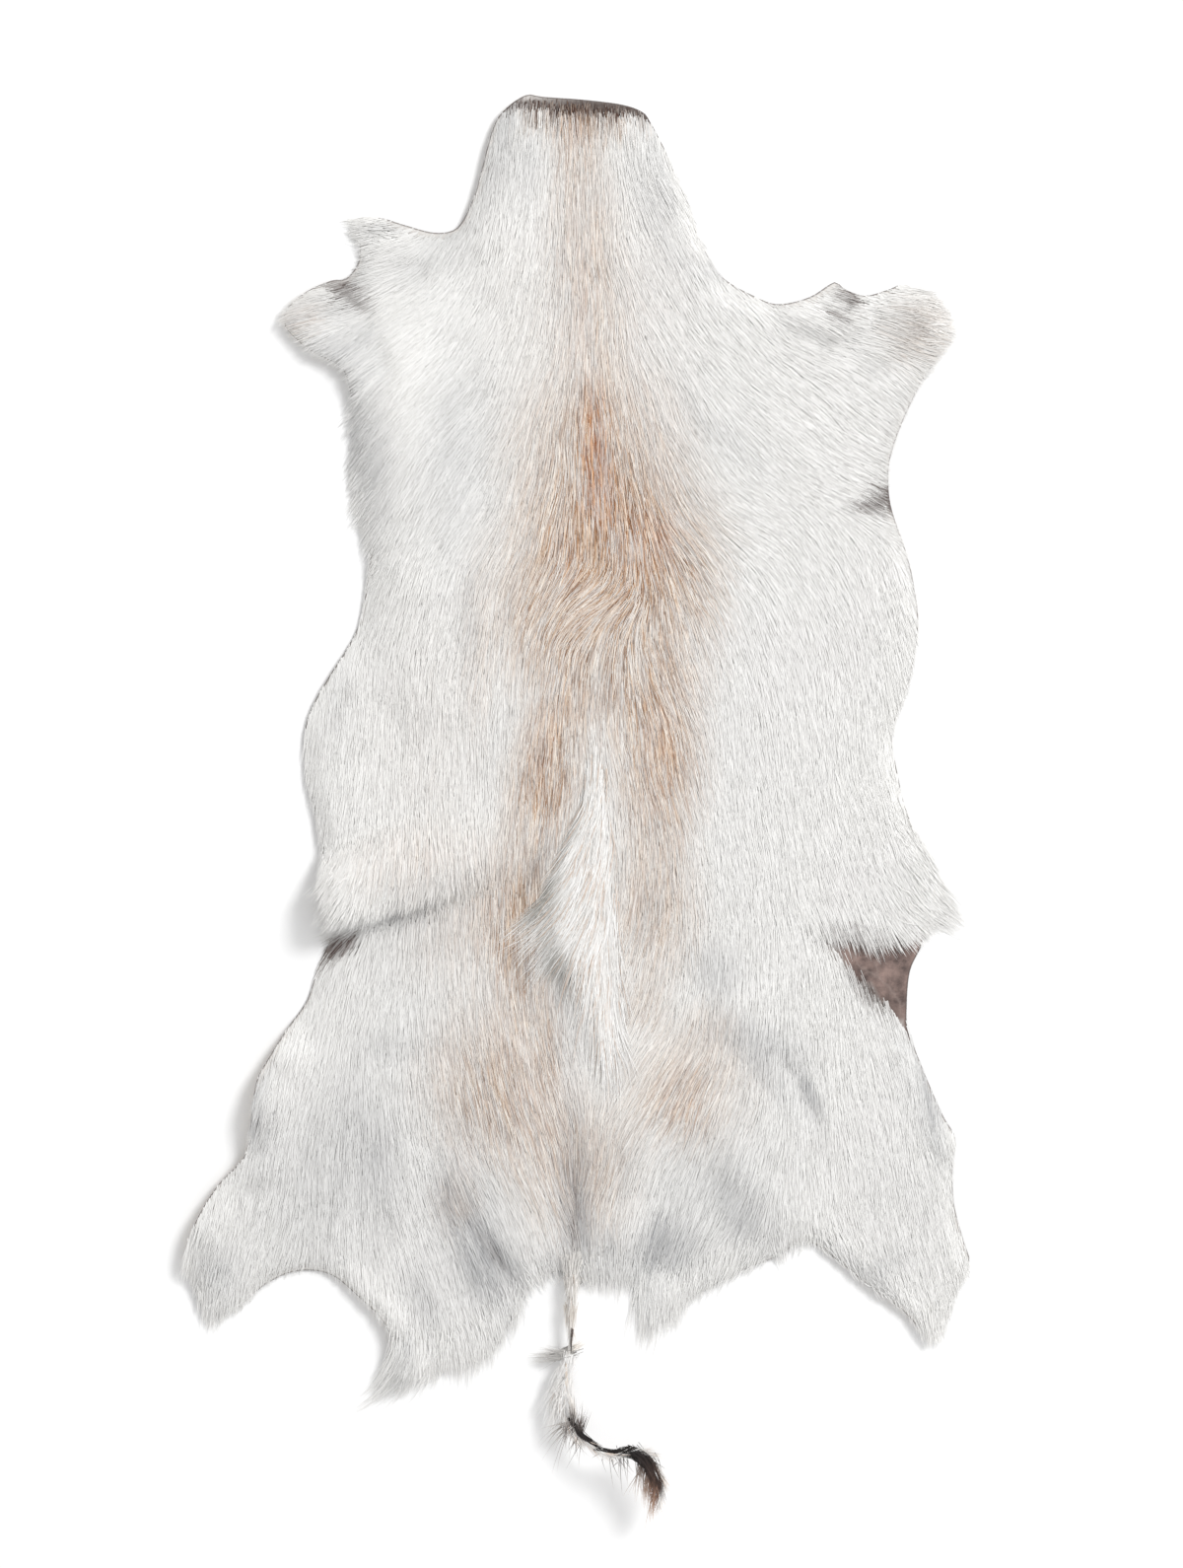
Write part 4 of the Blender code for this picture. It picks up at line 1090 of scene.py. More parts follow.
@dataclass
class StrandTree:
    """Geometry Nodes tree that grows lying hair on a mesh that says how it lies."""

    name: str = "lying_hair"
    bends: tuple = (-0.09, -0.03, 0.04, 0.08)
    droop: float = 0.05
    pull_gain: float = 4.0
    point_gap: float = 0.0005
    group: bpy.types.NodeTree = field(init=False)
    told: dict = field(init=False)

    FLOATS = {
        "Hairs per Square Metre": 500000.0,
        "Hair Width": 0.001,
        "Hair Length": 0.022,
        "Shortest Share": 0.7,
        "Longest Share": 1.15,
        "Rise": 0.14,
        "Rise Spread": 0.025,
        "Stray": 0.07,
        "Lock Size": 0.01,
        "Lock Pull": 0.07,
        "Wave Size": 0.045,
        "Wave Pull": 0.09,
        "Roll": 0.05,
        "Lift": 0.0,
    }
    COUNTS = {"Segments": 2, "Seed": 1}
    TOLD = {
        "density": "FLOAT", "length": "FLOAT", "rise": "FLOAT",
        "lie": "FLOAT_VECTOR", "up": "FLOAT_VECTOR",
    }
    NOISE_MIDDLE = (0.5, 0.5, 0.5)

    def __post_init__(self) -> None:
        """Builds the tree."""
        tree = bpy.data.node_groups.new(self.name, "GeometryNodeTree")
        self.group = tree
        sockets = tree.interface
        sockets.new_socket("Geometry", in_out="INPUT", socket_type="NodeSocketGeometry")
        for kind, values in (("Float", self.FLOATS), ("Int", self.COUNTS)):
            for name, value in values.items():
                made = sockets.new_socket(name, in_out="INPUT", socket_type="NodeSocket" + kind)
                made.default_value = value
        sockets.new_socket("Hair Material", in_out="INPUT", socket_type="NodeSocketMaterial")
        sockets.new_socket("Geometry", in_out="OUTPUT", socket_type="NodeSocketGeometry")
        given = add_node(tree, "NodeGroupInput", {}, {}).outputs
        self.told = {
            name: add_node(
                tree, "GeometryNodeInputNamedAttribute", {"data_type": kind}, {"Name": name},
            ).outputs["Attribute"]
            for name, kind in self.TOLD.items()
        }
        hairs = self.place_hairs(given, self.scatter(given), self.comb(given))
        real = add_node(tree, "GeometryNodeRealizeInstances", {}, {"Geometry": hairs})
        dressed = add_node(tree, "GeometryNodeSetMaterial", {}, {
            "Geometry": real, "Material": given["Hair Material"],
        })
        add_node(tree, "NodeGroupOutput", {}, {"Geometry": dressed})

    def scatter(self, given: bpy.types.bpy_prop_collection) -> bpy.types.Node:
        """Spreads the roots over the mesh, as dense as its own attribute says."""
        tree = self.group
        density = {0: self.told["density"], 1: given["Hairs per Square Metre"]}
        points = add_node(tree, "GeometryNodeDistributePointsOnFaces", {}, {
            "Mesh": given["Geometry"], "Seed": given["Seed"],
            "Density": add_node(tree, MATH, MULTIPLY, density),
        })
        height = add_node(tree, MATH, MULTIPLY, {0: self.told["rise"], 1: given["Lift"]})
        return add_node(tree, "GeometryNodeSetPosition", {}, {
            "Geometry": points, "Offset": add_node(tree, "ShaderNodeCombineXYZ", {}, {2: height}),
        })

    def astray(self, direction: object, amount: object, seed: int) -> bpy.types.Node:
        """Turns a direction by a random vector of its own for each hair.

        Args:
            direction: The output that gives the direction.
            amount: The output that gives the longest side of the vector.
            seed: Seed of the vector.

        Returns:
            The node that gives the new direction.
        """
        tree = self.group
        vector = add_node(tree, RANDOM, VECTOR, {
            0: (-1.0, -1.0, -1.0), 1: (1.0, 1.0, 1.0), "Seed": seed,
        })
        scaled = add_node(tree, VECTOR_MATH, SCALE, {0: vector, "Scale": amount})
        return add_node(tree, VECTOR_MATH, ADD, {0: direction, 1: scaled})

    def comb(self, given: bpy.types.bpy_prop_collection) -> bpy.types.Node:
        """Turns each hair along the lie, drawn into locks and waves, with some strays."""
        tree = self.group
        direction, up = self.told["lie"], self.told["up"]
        for size, pull in (("Lock Size", "Lock Pull"), ("Wave Size", "Wave Pull")):
            scale = add_node(tree, MATH, DIVIDE, {0: 1.0, 1: given[size]})
            noise = add_node(tree, "ShaderNodeTexNoise", {}, {"Scale": scale, "Detail": 1.0})
            centred = add_node(tree, VECTOR_MATH, SUBTRACT, {
                0: noise.outputs["Color"], 1: self.NOISE_MIDDLE,
            })
            gain = add_node(tree, MATH, MULTIPLY, {0: given[pull], 1: self.pull_gain})
            pulled = add_node(tree, VECTOR_MATH, SCALE, {0: centred, "Scale": gain})
            direction = add_node(tree, VECTOR_MATH, ADD, {0: direction, 1: pulled})
        direction = self.astray(direction, given["Stray"], 11)
        # What the pulls do across the skin counts, and what they do off it doesn't
        off_skin = add_node(tree, VECTOR_MATH, PROJECT, {0: direction, 1: up})
        level = add_node(tree, VECTOR_MATH, SUBTRACT, {0: direction, 1: off_skin})
        level = add_node(tree, VECTOR_MATH, NORMALIZE, {0: level})
        spread = add_node(tree, RANDOM, FLOAT, {2: -1.0, 3: 1.0, "Seed": 12}).outputs[1]
        rise = add_node(tree, MATH, MULTIPLY, {0: spread, 1: given["Rise Spread"]})
        rise = add_node(tree, MATH, ADD, {0: rise, 1: given["Rise"]})
        rise = add_node(tree, MATH, MULTIPLY, {0: rise, 1: self.told["rise"]})
        raised = add_node(tree, VECTOR_MATH, SCALE, {0: up, "Scale": rise})
        direction = add_node(tree, VECTOR_MATH, ADD, {0: level, 1: raised})
        axes = {"primary_axis": "Y", "secondary_axis": "Z"}
        rolled = self.astray(up, given["Roll"], 13)
        return add_node(tree, "FunctionNodeAxesToRotation", axes, {0: direction, 1: rolled})

    def one_hair(self, given: bpy.types.bpy_prop_collection, bend: float) -> bpy.types.Node:
        """One flat tapered hair of length 1 along Y, bent to the side and drooping."""
        tree = self.group
        width = {0: given["Hair Width"], 1: given["Hair Length"]}
        grid = add_node(tree, "GeometryNodeMeshGrid", {}, {
            "Size X": add_node(tree, MATH, DIVIDE, width), "Size Y": 1.0, "Vertices X": 2,
            "Vertices Y": add_node(tree, MATH, ADD, {0: given["Segments"], 1: 1.0}),
        })
        place = add_node(tree, "GeometryNodeInputPosition", {}, {})
        parts = add_node(tree, "ShaderNodeSeparateXYZ", {}, {0: place}).outputs
        along = add_node(tree, MATH, ADD, {0: parts["Y"], 1: 0.5})
        squared = add_node(tree, MATH, MULTIPLY, {0: along, 1: along})
        taper = add_node(tree, MATH, SUBTRACT, {0: 1.0, 1: squared})
        tapered = add_node(tree, MATH, MULTIPLY, {0: parts["X"], 1: taper})
        aside = add_node(tree, MATH, MULTIPLY, {0: squared, 1: bend})
        shaped = add_node(tree, "ShaderNodeCombineXYZ", {}, {
            0: add_node(tree, MATH, ADD, {0: tapered, 1: aside}), 1: along,
            2: add_node(tree, MATH, MULTIPLY, {0: squared, 1: -self.droop}),
        })
        marked = add_node(tree, "GeometryNodeStoreNamedAttribute", {
            "data_type": "FLOAT", "domain": "POINT",
        }, {"Geometry": grid, "Name": "along", "Value": along})
        bent = add_node(tree, "GeometryNodeSetPosition", {}, {
            "Geometry": marked, "Position": shaped,
        })
        pointed = add_node(tree, "GeometryNodeMergeByDistance", {}, {
            "Geometry": bent, "Distance": self.point_gap,
        })
        return add_node(tree, "GeometryNodeGeometryToInstance", {}, {"Geometry": pointed})

    def place_hairs(
        self, given: bpy.types.bpy_prop_collection, points: bpy.types.Node,
        rotation: bpy.types.Node,
    ) -> bpy.types.Node:
        """Puts a hair on each root and notes where it grows.

        Args:
            given: The tree's own inputs.
            points: The roots.
            rotation: The turn of each hair.

        Returns:
            The node that gives the hairs.
        """
        tree = self.group
        choice = add_node(tree, "GeometryNodeJoinGeometry", {}, {})
        for bend in self.bends:
            tree.links.new(self.one_hair(given, bend).outputs[0], choice.inputs[0])
        share = add_node(tree, RANDOM, FLOAT, {
            2: given["Shortest Share"], 3: given["Longest Share"], "Seed": 14,
        }).outputs[1]
        length = add_node(tree, MATH, MULTIPLY, {0: share, 1: given["Hair Length"]})
        last = len(self.bends) - 1
        pick = add_node(tree, RANDOM, WHOLE, {4: 0, 5: last, "Seed": 15}).outputs[2]
        hairs = add_node(tree, "GeometryNodeInstanceOnPoints", {}, {
            "Points": points, "Instance": choice, "Pick Instance": True,
            "Instance Index": pick, "Rotation": rotation,
            "Scale": add_node(tree, MATH, MULTIPLY, {0: self.told["length"], 1: length}),
        })
        tone = add_node(tree, RANDOM, FLOAT, {2: 0.0, 3: 1.0, "Seed": 16}).outputs[1]
        root = add_node(tree, "GeometryNodeInputPosition", {}, {})
        for name, kind, value in (("root", "FLOAT_VECTOR", root), ("tone", "FLOAT", tone)):
            hairs = add_node(tree, "GeometryNodeStoreNamedAttribute", {
                "data_type": kind, "domain": "INSTANCE",
            }, {"Geometry": hairs, "Name": name, "Value": value})
        return hairs

    def grow(self, scalp: bpy.types.Object, name: str, sizes: dict) -> bpy.types.Object:
        """Grows hair on a scalp.

        Args:
            scalp: Mesh with the attributes lie, up, density, length and rise.
            name: Name of the new piece.
            sizes: Values of the tree's inputs by name, where they aren't its starting ones.

        Returns:
            The hair as one plain mesh.
        """
        modifier = scalp.modifiers.new("hair", "NODES")
        modifier.node_group = self.group
        sizes = {**self.FLOATS, **self.COUNTS, **sizes}
        for item in self.group.interface.items_tree:
            if item.in_out == "INPUT" and item.name in sizes:
                modifier[item.identifier] = sizes[item.name]
        depsgraph = bpy.context.evaluated_depsgraph_get()
        evaluated = scalp.evaluated_get(depsgraph)
        mesh = bpy.data.meshes.new_from_object(evaluated, depsgraph=depsgraph)
        scalp.modifiers.remove(modifier)
        mesh.name = name
        obj = bpy.data.objects.new(name, mesh)
        bpy.context.scene.collection.objects.link(obj)
        return obj


# How far the streaks run on past the skin
STREAK_MARGIN = 40.0


@dataclass
class Streaks:
    """Long soft streaks along the lie of the hair, which neighbouring hairs share."""

    lie: HairLie
    low: np.ndarray
    high: np.ndarray
    cell: float = 2.0
    steps: int = 12
    seed: int = 6
    count: np.ndarray = field(init=False)
    way: np.ndarray = field(init=False)
    strength: np.ndarray = field(init=False)

    def __post_init__(self) -> None:
        """Smears noise along the lie, so that it makes streaks, and spreads it from 0 to 1."""
        self.count = np.ceil((self.high - self.low) / self.cell).astype(int) + 1
        columns, rows = np.meshgrid(np.arange(self.count[0]), np.arange(self.count[1]))
        start = np.stack([columns.ravel(), rows.ravel()], axis=1) * self.cell + self.low
        self.way = self.lie.directions(start)
        noise = np.random.default_rng(self.seed).normal(size=len(start))
        total = noise.copy()
        for sign in (-1, 1):
            place = start.copy()
            for _ in range(self.steps):
                place = place + sign * self.cell * self.way[self.cells(place)]
                total += noise[self.cells(place)]
        rank = np.empty(len(total))
        rank[np.argsort(total)] = np.linspace(0.0, 1.0, len(total))
        self.strength = rank

    def cells(self, points: np.ndarray) -> np.ndarray:
        """Index of the cell that each point is in."""
        steps = np.rint((points - self.low) / self.cell).astype(int)
        steps = np.clip(steps, 0, self.count - 1)
        return steps[:, 1] * self.count[0] + steps[:, 0]

    def at(self, points: np.ndarray) -> np.ndarray:
        """Strength of the streak at each point."""
        return self.strength[self.cells(points)]

    def onward(self, points: np.ndarray, distance: float) -> np.ndarray:
        """Places some way along the lie from each point."""
        return points + distance * self.way[self.cells(points)]


class Draw(Enum):
    """Factors that turn a hair's one random tone into further random shares."""

    SECOND = 7.3
    LIGHT = 13.7
    WARM = 29.1

    def of(self, tone: np.ndarray) -> np.ndarray:
        """A random share for each hair."""
        return np.mod(tone * self.value, 1.0)


@dataclass
class CoatColours:
    """Colours each hair by the place of its root, its own tone and its length."""

    fine: Streaks
    broad: Streaks
    white: tuple = ("#e9e8e5", "#edecea", "#f1f0ee")
    fawn: tuple = ("#7c573a", "#ae8563", "#d3b597", "#f5eadd")
    orange: tuple = ("#8a5126", "#b5703e", "#d69a67", "#f0d1b0")
    # Grey of the painted shade
    painted_shade: str = "#8f9093"
    shaded: str = "#96938d"
    # Dark hair's colour, also laid as painted shade in creases
    dark: str = "#43291f"
    fan_white: tuple = ("#dad7d3", "#edebe8", "#faf9f8")
    fan_warm: str = "#cbb29e"
    # How far on from its root a hair takes its colour, and how widely that place is strewn
    colour_reach: float = 13.0
    strewn_across: float = 10.0
    strewn_along: float = 16.0
    dark_strewn: float = 0.4
    # What a hair's own draw, its fine streak and its broad streak count for
    fawn_parts: tuple = (0.6, 0.24, 0.16)
    shade_parts: tuple = (0.66, 0.2, 0.14)
    # How far the fawn and its lightness spread from hair to hair
    fawn_contrast: float = 1.5
    fawn_least: float = 0.38
    fawn_gain: float = 1.3
    warm_contrast: float = 1.6
    # How much a colour changes from root to tip
    white_tip: float = 0.25
    warm_tip: float = 0.3
    mark_fade: float = 0.35
    # How strong the painted shade and the dark marks are, and how much of that a hair's draw or
    # streak adds
    painted_shade_mean: float = 0.75
    painted_shade_streak: float = 0.5
    painted_shade_root: float = 0.9
    dark_least: float = 0.6
    dark_gain: float = 0.8
    fan_light: float = 0.8
    fan_tip: float = 0.3
    fan_shade_least: float = 0.3
    fan_shade_gain: float = 1.2
    fan_warm_from: float = 0.88
    fan_warm_share: float = 0.7

    def ramp(self, colours: tuple, share: np.ndarray) -> np.ndarray:
        """Picks from a row of colours, evenly spaced, by a share for each row."""
        stops = np.linspace(0.0, 1.0, len(colours))
        rows = np.array([linear(colour) for colour in colours])
        share = np.clip(share, 0.0, 1.0)
        return np.stack([np.interp(share, stops, rows[:, part]) for part in range(3)], axis=1)

    def coat(self, roots: np.ndarray, along: np.ndarray, tone: np.ndarray) -> np.ndarray:
        """Colour rows for the hair of the body.

        Args:
            roots: Plan position of each hair's root, in millimetres.
            along: Share of the way from root to tip.
            tone: Random number of the hair.

        Returns:
            Linear red, green and blue, one row each.
        """
        second, light = Draw.SECOND.of(tone), Draw.LIGHT.of(tone)
        fine, broad = self.fine.at(roots), self.broad.at(roots)
        # A hair shows most beyond its middle, so its colour is that of the place there
        roots = self.fine.onward(roots, self.colour_reach)
        strewn = [self.strewn_across * (tone - 0.5), self.strewn_along * (second - 0.5)]
        mixed = roots + np.stack(strewn, axis=1)
        share = patch_share(mixed, FAWN) * (1.0 - patch_share(mixed, PALE))
        pull = self.weighted(self.fawn_parts, (second, fine, broad))
        pull = 0.5 + self.fawn_contrast * (pull - 0.5)
        fawn = share * (self.fawn_least + self.fawn_gain * np.clip(pull, 0.0, 1.0))
        shade = self.weighted(self.shade_parts, (light, fine, broad))
        colour = self.ramp(self.white, shade + self.white_tip * (along - 0.5))
        warm = 0.5 + self.warm_contrast * (shade - 0.5) + self.warm_tip * (along - 0.5)
        hue = self.blend(
            self.ramp(self.fawn, warm), self.ramp(self.orange, warm), patch_share(mixed, ORANGE)
        )
        colour = self.blend(colour, hue, fawn)
        # Painted shade: greys the hair in valleys, creases and on sides turned from the light, less
        # towards the tips
        painted_shade = patch_share(roots, PAINTED_SHADE) * (self.painted_shade_mean + self.painted_shade_streak * (0.5 - fine))
        painted_shade = painted_shade * (self.painted_shade_root - self.mark_fade * along)
        colour = self.blend(colour, linear(self.painted_shade), painted_shade)
        # Dark hair, and painted shade in the creases that the dark table lists
        near = roots + self.dark_strewn * (mixed - roots)
        dark = patch_share(near, DARK_HAIR_AND_CREASE_SHADE) * (self.dark_least + self.dark_gain * (1 - light))
        return self.blend(colour, linear(self.dark), dark * (1.0 - self.mark_fade * along))

    def fan(self, places: np.ndarray, along: np.ndarray, tone: np.ndarray) -> np.ndarray:
        """Colour rows for the fan of the back and for the tail, which have the whitest hair.

        Args:
            places: Plan position of each row, in millimetres.
            along: Share of the way from root to tip.
            tone: Random number of the hair.

        Returns:
            Linear red, green and blue, one row each.
        """
        light, second = Draw.LIGHT.of(tone), Draw.SECOND.of(tone)
        colour = self.ramp(self.fan_white, self.fan_light * light + self.fan_tip * along)
        shade = self.fan_shade_least + self.fan_shade_gain * second
        # Painted shade on the fan's left and lower part
        colour = self.blend(colour, linear(self.shaded), patch_share(places, FAN_PAINTED_SHADE) * shade)
        warm = self.fan_warm_share * (Draw.WARM.of(tone) > self.fan_warm_from)
        return self.blend(colour, linear(self.fan_warm), warm)

    @staticmethod
    def weighted(weights: tuple, parts: tuple) -> np.ndarray:
        """Adds parts up by their weights."""
        return sum(weight * part for weight, part in zip(weights, parts))

    @staticmethod
    def blend(first: np.ndarray, second: np.ndarray, share: np.ndarray) -> np.ndarray:
        """Mixes two colours, or rows of colours, by a share for each row."""
        share = np.clip(share, 0.0, 1.0)[:, None]
        return first * (1.0 - share) + second * share

    def paint(self, obj: bpy.types.Object, kind: Hair) -> None:
        """Gives a hair piece its colours and drops the numbers that they came from."""
        mesh = obj.data
        roots = get_attribute(mesh, "root", 3)[:, :2] / MM
        along, tone = (get_attribute(mesh, name, 1) for name in ("along", "tone"))
        painter = {Hair.COAT: self.coat, Hair.TAIL: self.fan}[kind]
        set_hair_colour(mesh, painter(roots.astype(float), along, tone))
        for name in ("root", "along", "tone", "up", "lie", "density", "length", "rise"):
            if name in mesh.attributes:
                mesh.attributes.remove(mesh.attributes[name])


def settle(obj: bpy.types.Object) -> None:
    """Lays hair that would reach below the floor on it, and finishes the mesh."""
    mesh = obj.data
    positions = vertex_positions(mesh)
    positions[:, 2] = np.maximum(positions[:, 2], FLOOR_GAP)
    mesh.vertices.foreach_set("co", positions.ravel())
    mesh.update()
    mesh.shade_smooth()
    lay_plan_uv(mesh)


# The pieces


def make_scalp(
    name: str, places: np.ndarray, faces: np.ndarray, lie: np.ndarray, shares: dict,
) -> bpy.types.Object:
    """Makes the mesh that hair grows from.

    Args:
        name: Name of the mesh.
        places: Places in millimetres.
        faces: Triangles.
        lie: Direction of the hair at each point, in plan or with its rise.
        shares: Share of the full density, length and rise at each point, by name.

    Returns:
        The scalp, which is removed when its hair has grown.
    """
    obj = mesh_object(name, places * MM, faces)
    mesh = obj.data
    up = np.empty(len(mesh.vertices) * 3, np.float32)
    mesh.vertex_normals.foreach_get("vector", up)
    up = up.reshape(-1, 3)
    level = lie if lie.shape[1] == 3 else np.column_stack([lie, np.zeros(len(lie))])
    level = unit(level - np.sum(level * up, axis=1)[:, None] * up)
    set_attribute(mesh, "lie", "FLOAT_VECTOR", level)
    set_attribute(mesh, "up", "FLOAT_VECTOR", up)
    for key, values in shares.items():
        set_attribute(mesh, key, "FLOAT", values)
    return obj


@dataclass
class Leather:
    """The tanned skin: one thin sheet on the folds, with a dark cut edge."""

    form: HideForm
    finish: LeatherFinish
    grid: float = 11.0
    rim: float = 1.5
    cut_share: float = 0.5
    bare_margin: float = 4.0
    flat: tuple = (0.64, 0.96)
    flat_area: float = 0.42

    def build(self) -> bpy.types.Object:
        """Makes the sheet and says where its zones are."""
        ring = self.form.leather_ring()
        plan, faces = filled_outline(ring, self.grid, self.rim)
        height = self.form.lift(plan) + self.form.edge_lift
        count = len(plan)
        low = np.column_stack([plan, height])
        high = low + (0, 0, self.form.leather)
        wall = []
        for a in range(len(ring)):
            b = (a + 1) % len(ring)
            wall += [(a, b, b + count), (a, b + count, a + count)]
        sides = np.concatenate([faces[:, ::-1], faces + count, np.array(wall)])
        obj = mesh_object("hide_leather", np.concatenate([low, high]) * MM, sides)
        haired = 1.0 - patch_share(plan, THIN_HAIR)
        haired[depth_inside(plan, np.array(BARE_SKIN, float)) > -self.bare_margin] = 0.0
        cut = (ring_facts(plan, ring)[0] < self.cut_share * self.rim).astype(float)
        # Where the dark table covers the leather, it takes dark hair's colour, painted shade in
        # creases included
        zones = {
            "haired": np.tile(haired, 2), "dark_hair_and_crease_shade": np.tile(patch_share(plan, DARK_HAIR_AND_CREASE_SHADE), 2),
            "downside": np.repeat([1.0, 0.0], count), "cut_rim": np.tile(cut, 2),
        }
        dress_skin(obj, zones, self.finish.material())
        return obj


@dataclass
class Coat:
    """The lying hair of the body, grown in layers, each one piece."""

    form: HideForm
    tree: StrandTree
    colours: CoatColours
    material: bpy.types.Material
    grid: float = 6.0
    full_length: float = 22.0
    shortest: float = 0.3
    least_facing: float = 0.05
    bare_lap: float = 1.0
    bare_blend: float = 7.0
    # How far the roots stay from the edge, and how much further where the hair hangs out
    margin: float = 1.5
    margin_outward: float = 4.0
    margin_lap: float = 2.0
    margin_blend: float = 3.0
    inward_extra: float = 1.5
    inward_band: float = 9.0
    rim_rise: float = 0.35

    LAYERS = {
        "coat_under_hair": {
            "Hairs per Square Metre": 62000.0, "Hair Width": 0.0024, "Hair Length": 0.022,
            "Rise": 0.03, "Stray": 0.05, "Seed": 2,
        },
        "coat_hair_lower": {
            "Hairs per Square Metre": 115000.0, "Hair Width": 0.0011, "Hair Length": 0.022,
            "Rise": 0.035, "Stray": 0.05, "Lift": 0.0002, "Seed": 3,
        },
        "coat_hair_middle": {
            "Hairs per Square Metre": 140000.0, "Hair Width": 0.0008, "Hair Length": 0.023,
            "Rise": 0.04, "Stray": 0.05, "Lift": 0.0006, "Seed": 4,
        },
        "coat_hair_upper": {
            "Hairs per Square Metre": 140000.0, "Hair Width": 0.0007, "Hair Length": 0.024,
            "Rise": 0.045, "Stray": 0.05, "Lift": 0.001, "Seed": 5,
        },
        "coat_hair_top": {
            "Hairs per Square Metre": 138000.0, "Hair Width": 0.0006, "Hair Length": 0.026,
            "Rise": 0.05, "Stray": 0.07, "Lift": 0.0014, "Seed": 6,
        },
    }

    def scalp(self) -> bpy.types.Object:
        """The surface that the coat grows from, with how long and dense it is there."""
        form = self.form
        plan, faces = filled_outline(form.edge, self.grid)
        distance, nearest = ring_facts(plan, form.edge)
        lie = form.lie.directions(plan)
        facing = np.sum(lie * form.outward[nearest], axis=1)
        room = (distance + form.overhang[nearest]) / np.maximum(facing, self.least_facing)
        length = np.clip(room / self.full_length, self.shortest, 1.0)
        gap = -depth_inside(plan, np.array(BARE_SKIN, float))
        density = smooth_step((gap + self.bare_lap) / self.bare_blend)
        density *= 1.0 - patch_share(plan, THIN_HAIR)
        margin = self.margin + self.margin_outward * np.clip(facing, 0.0, 1.0)
        density *= smooth_step((distance - margin + self.margin_lap) / self.margin_blend)
        # Where the hair starts from the rim and lies inwards, more of it covers the leather
        near_rim = self.inward_extra * (1.0 - smooth_step(distance / self.inward_band))
        density *= 1.0 + near_rim * np.clip(-2 * facing, 0.0, 1.0)
        rise = smooth_step(distance / form.rim_width)
        places = np.column_stack([plan, form.root_height(plan, distance)])
        return make_scalp("coat_scalp", places, faces, lie, {
            "density": density, "length": length * (1.0 - patch_share(plan, SHORT_HAIR)),
            "rise": self.rim_rise + (1.0 - self.rim_rise) * rise,
        })

    def build(self) -> list:
        """Grows the layers."""
        scalp = self.scalp()
        made = []
        for name, sizes in self.LAYERS.items():
            obj = self.tree.grow(scalp, name, {**sizes, "Hair Material": self.material})
            self.colours.paint(obj, Hair.COAT)
            settle(obj)
            made.append(obj)
        bpy.data.objects.remove(scalp, do_unlink=True)
        return made


@dataclass
class BladeMaker:
    """Makes hair as narrow curved blades, many to a mesh, from the lines that they follow."""

    material: bpy.types.Material
    rng: np.random.Generator = field(default_factory=lambda: np.random.default_rng(8))
    floor: float = 0.5
    lean: float = 0.16
    width_spread: tuple = (0.7, 1.3)
    taper: float = 0.95

    def blades(self, lines: np.ndarray, width: float) -> np.ndarray:
        """Widens lines into blades that taper to a point.

        Args:
            lines: Places in millimetres by hair and row.
            width: Mean width at the root.

        Returns:
            Places by hair, row and side.
        """
        count, rows = lines.shape[:2]
        lines = lines.copy()
        lines[:, :, 2] = np.maximum(lines[:, :, 2], self.floor)
        forward = np.gradient(lines, axis=1)
        up = np.array((0.0, 0.0, 1.0)) + self.rng.normal(0, self.lean, (count, 1, 3))
        across = unit(np.cross(forward, up))
        share = np.linspace(0.0, 1.0, rows)[None, :, None]
        half = 0.5 * width * self.rng.uniform(*self.width_spread, (count, 1, 1))
        half = half * (1 - self.taper * share ** 2)
        return np.stack([lines - across * half, lines + across * half], axis=2)

    def build(self, name: str, parts: list) -> bpy.types.Object:
        """Makes one piece from groups of blades.

        Args:
            name: Name of the piece.
            parts: Pairs of places by hair, row and side, and colours by hair and row.

        Returns:
            The piece.
        """
        vertices, colours, faces, start = [], [], [], 0
        for places, rows in parts:
            count, steps = places.shape[:2]
            first = 2 * np.arange(steps - 1)
            quads = np.stack([first, first + 1, first + 3, first + 2], axis=1)
            grown = start + np.arange(count)[:, None, None] * 2 * steps + quads
            vertices.append(places.reshape(-1, 3))
            colours.append(rows[:, :, None].repeat(2, axis=2).reshape(-1, 3))
            faces.append(grown.reshape(-1, 4))
            start += 2 * count * steps
        obj = mesh_object(name, np.concatenate(vertices) * MM, np.concatenate(faces))
        set_hair_colour(obj.data, np.concatenate(colours))
        obj.data.materials.append(self.material)
        settle(obj)
        return obj


@dataclass
class LongHair:
    """Long hair that follows the lie from its root on, over whatever lies below it."""

    form: HideForm
    colours: CoatColours
    maker: BladeMaker
    rows: int = 6

    def paths(self, roots: np.ndarray, lengths: np.ndarray, lie: HairLie, stray: float) -> np.ndarray:
        """Follows the lie from each root.

        Args:
            roots: Plan positions of the roots.
            lengths: Length of each hair.
            lie: The directions that the hair follows.
            stray: How far, in radians, a hair may turn from them.

        Returns:
            Plan positions by hair and row.
        """
        turn = self.maker.rng.normal(0, stray, len(roots))
        cosine, sine = np.cos(turn), np.sin(turn)
        step = (lengths / (self.rows - 1))[:, None]
        places = [roots]
        for _ in range(self.rows - 1):
            way = lie.directions(places[-1])
            turned = np.stack([
                way[:, 0] * cosine - way[:, 1] * sine, way[:, 0] * sine + way[:, 1] * cosine,
            ], axis=1)
            places.append(places[-1] + turned * step)
        return np.stack(places, axis=1)

    def surface(self, plan: np.ndarray) -> np.ndarray:
        """Height of the surface that the coat grows from, under any rows of plan positions."""
        flat = plan.reshape(-1, 2)
        distance, _ = ring_facts(flat, self.form.edge)
        return self.form.root_height(flat, distance).reshape(plan.shape[:-1])

    def tones(self, count: int) -> tuple:
        """Share along the hair and a random tone, for each row of each hair."""
        along = np.tile(np.linspace(0.0, 1.0, self.rows), count)
        return along, self.maker.rng.uniform(0, 1, count).repeat(self.rows)


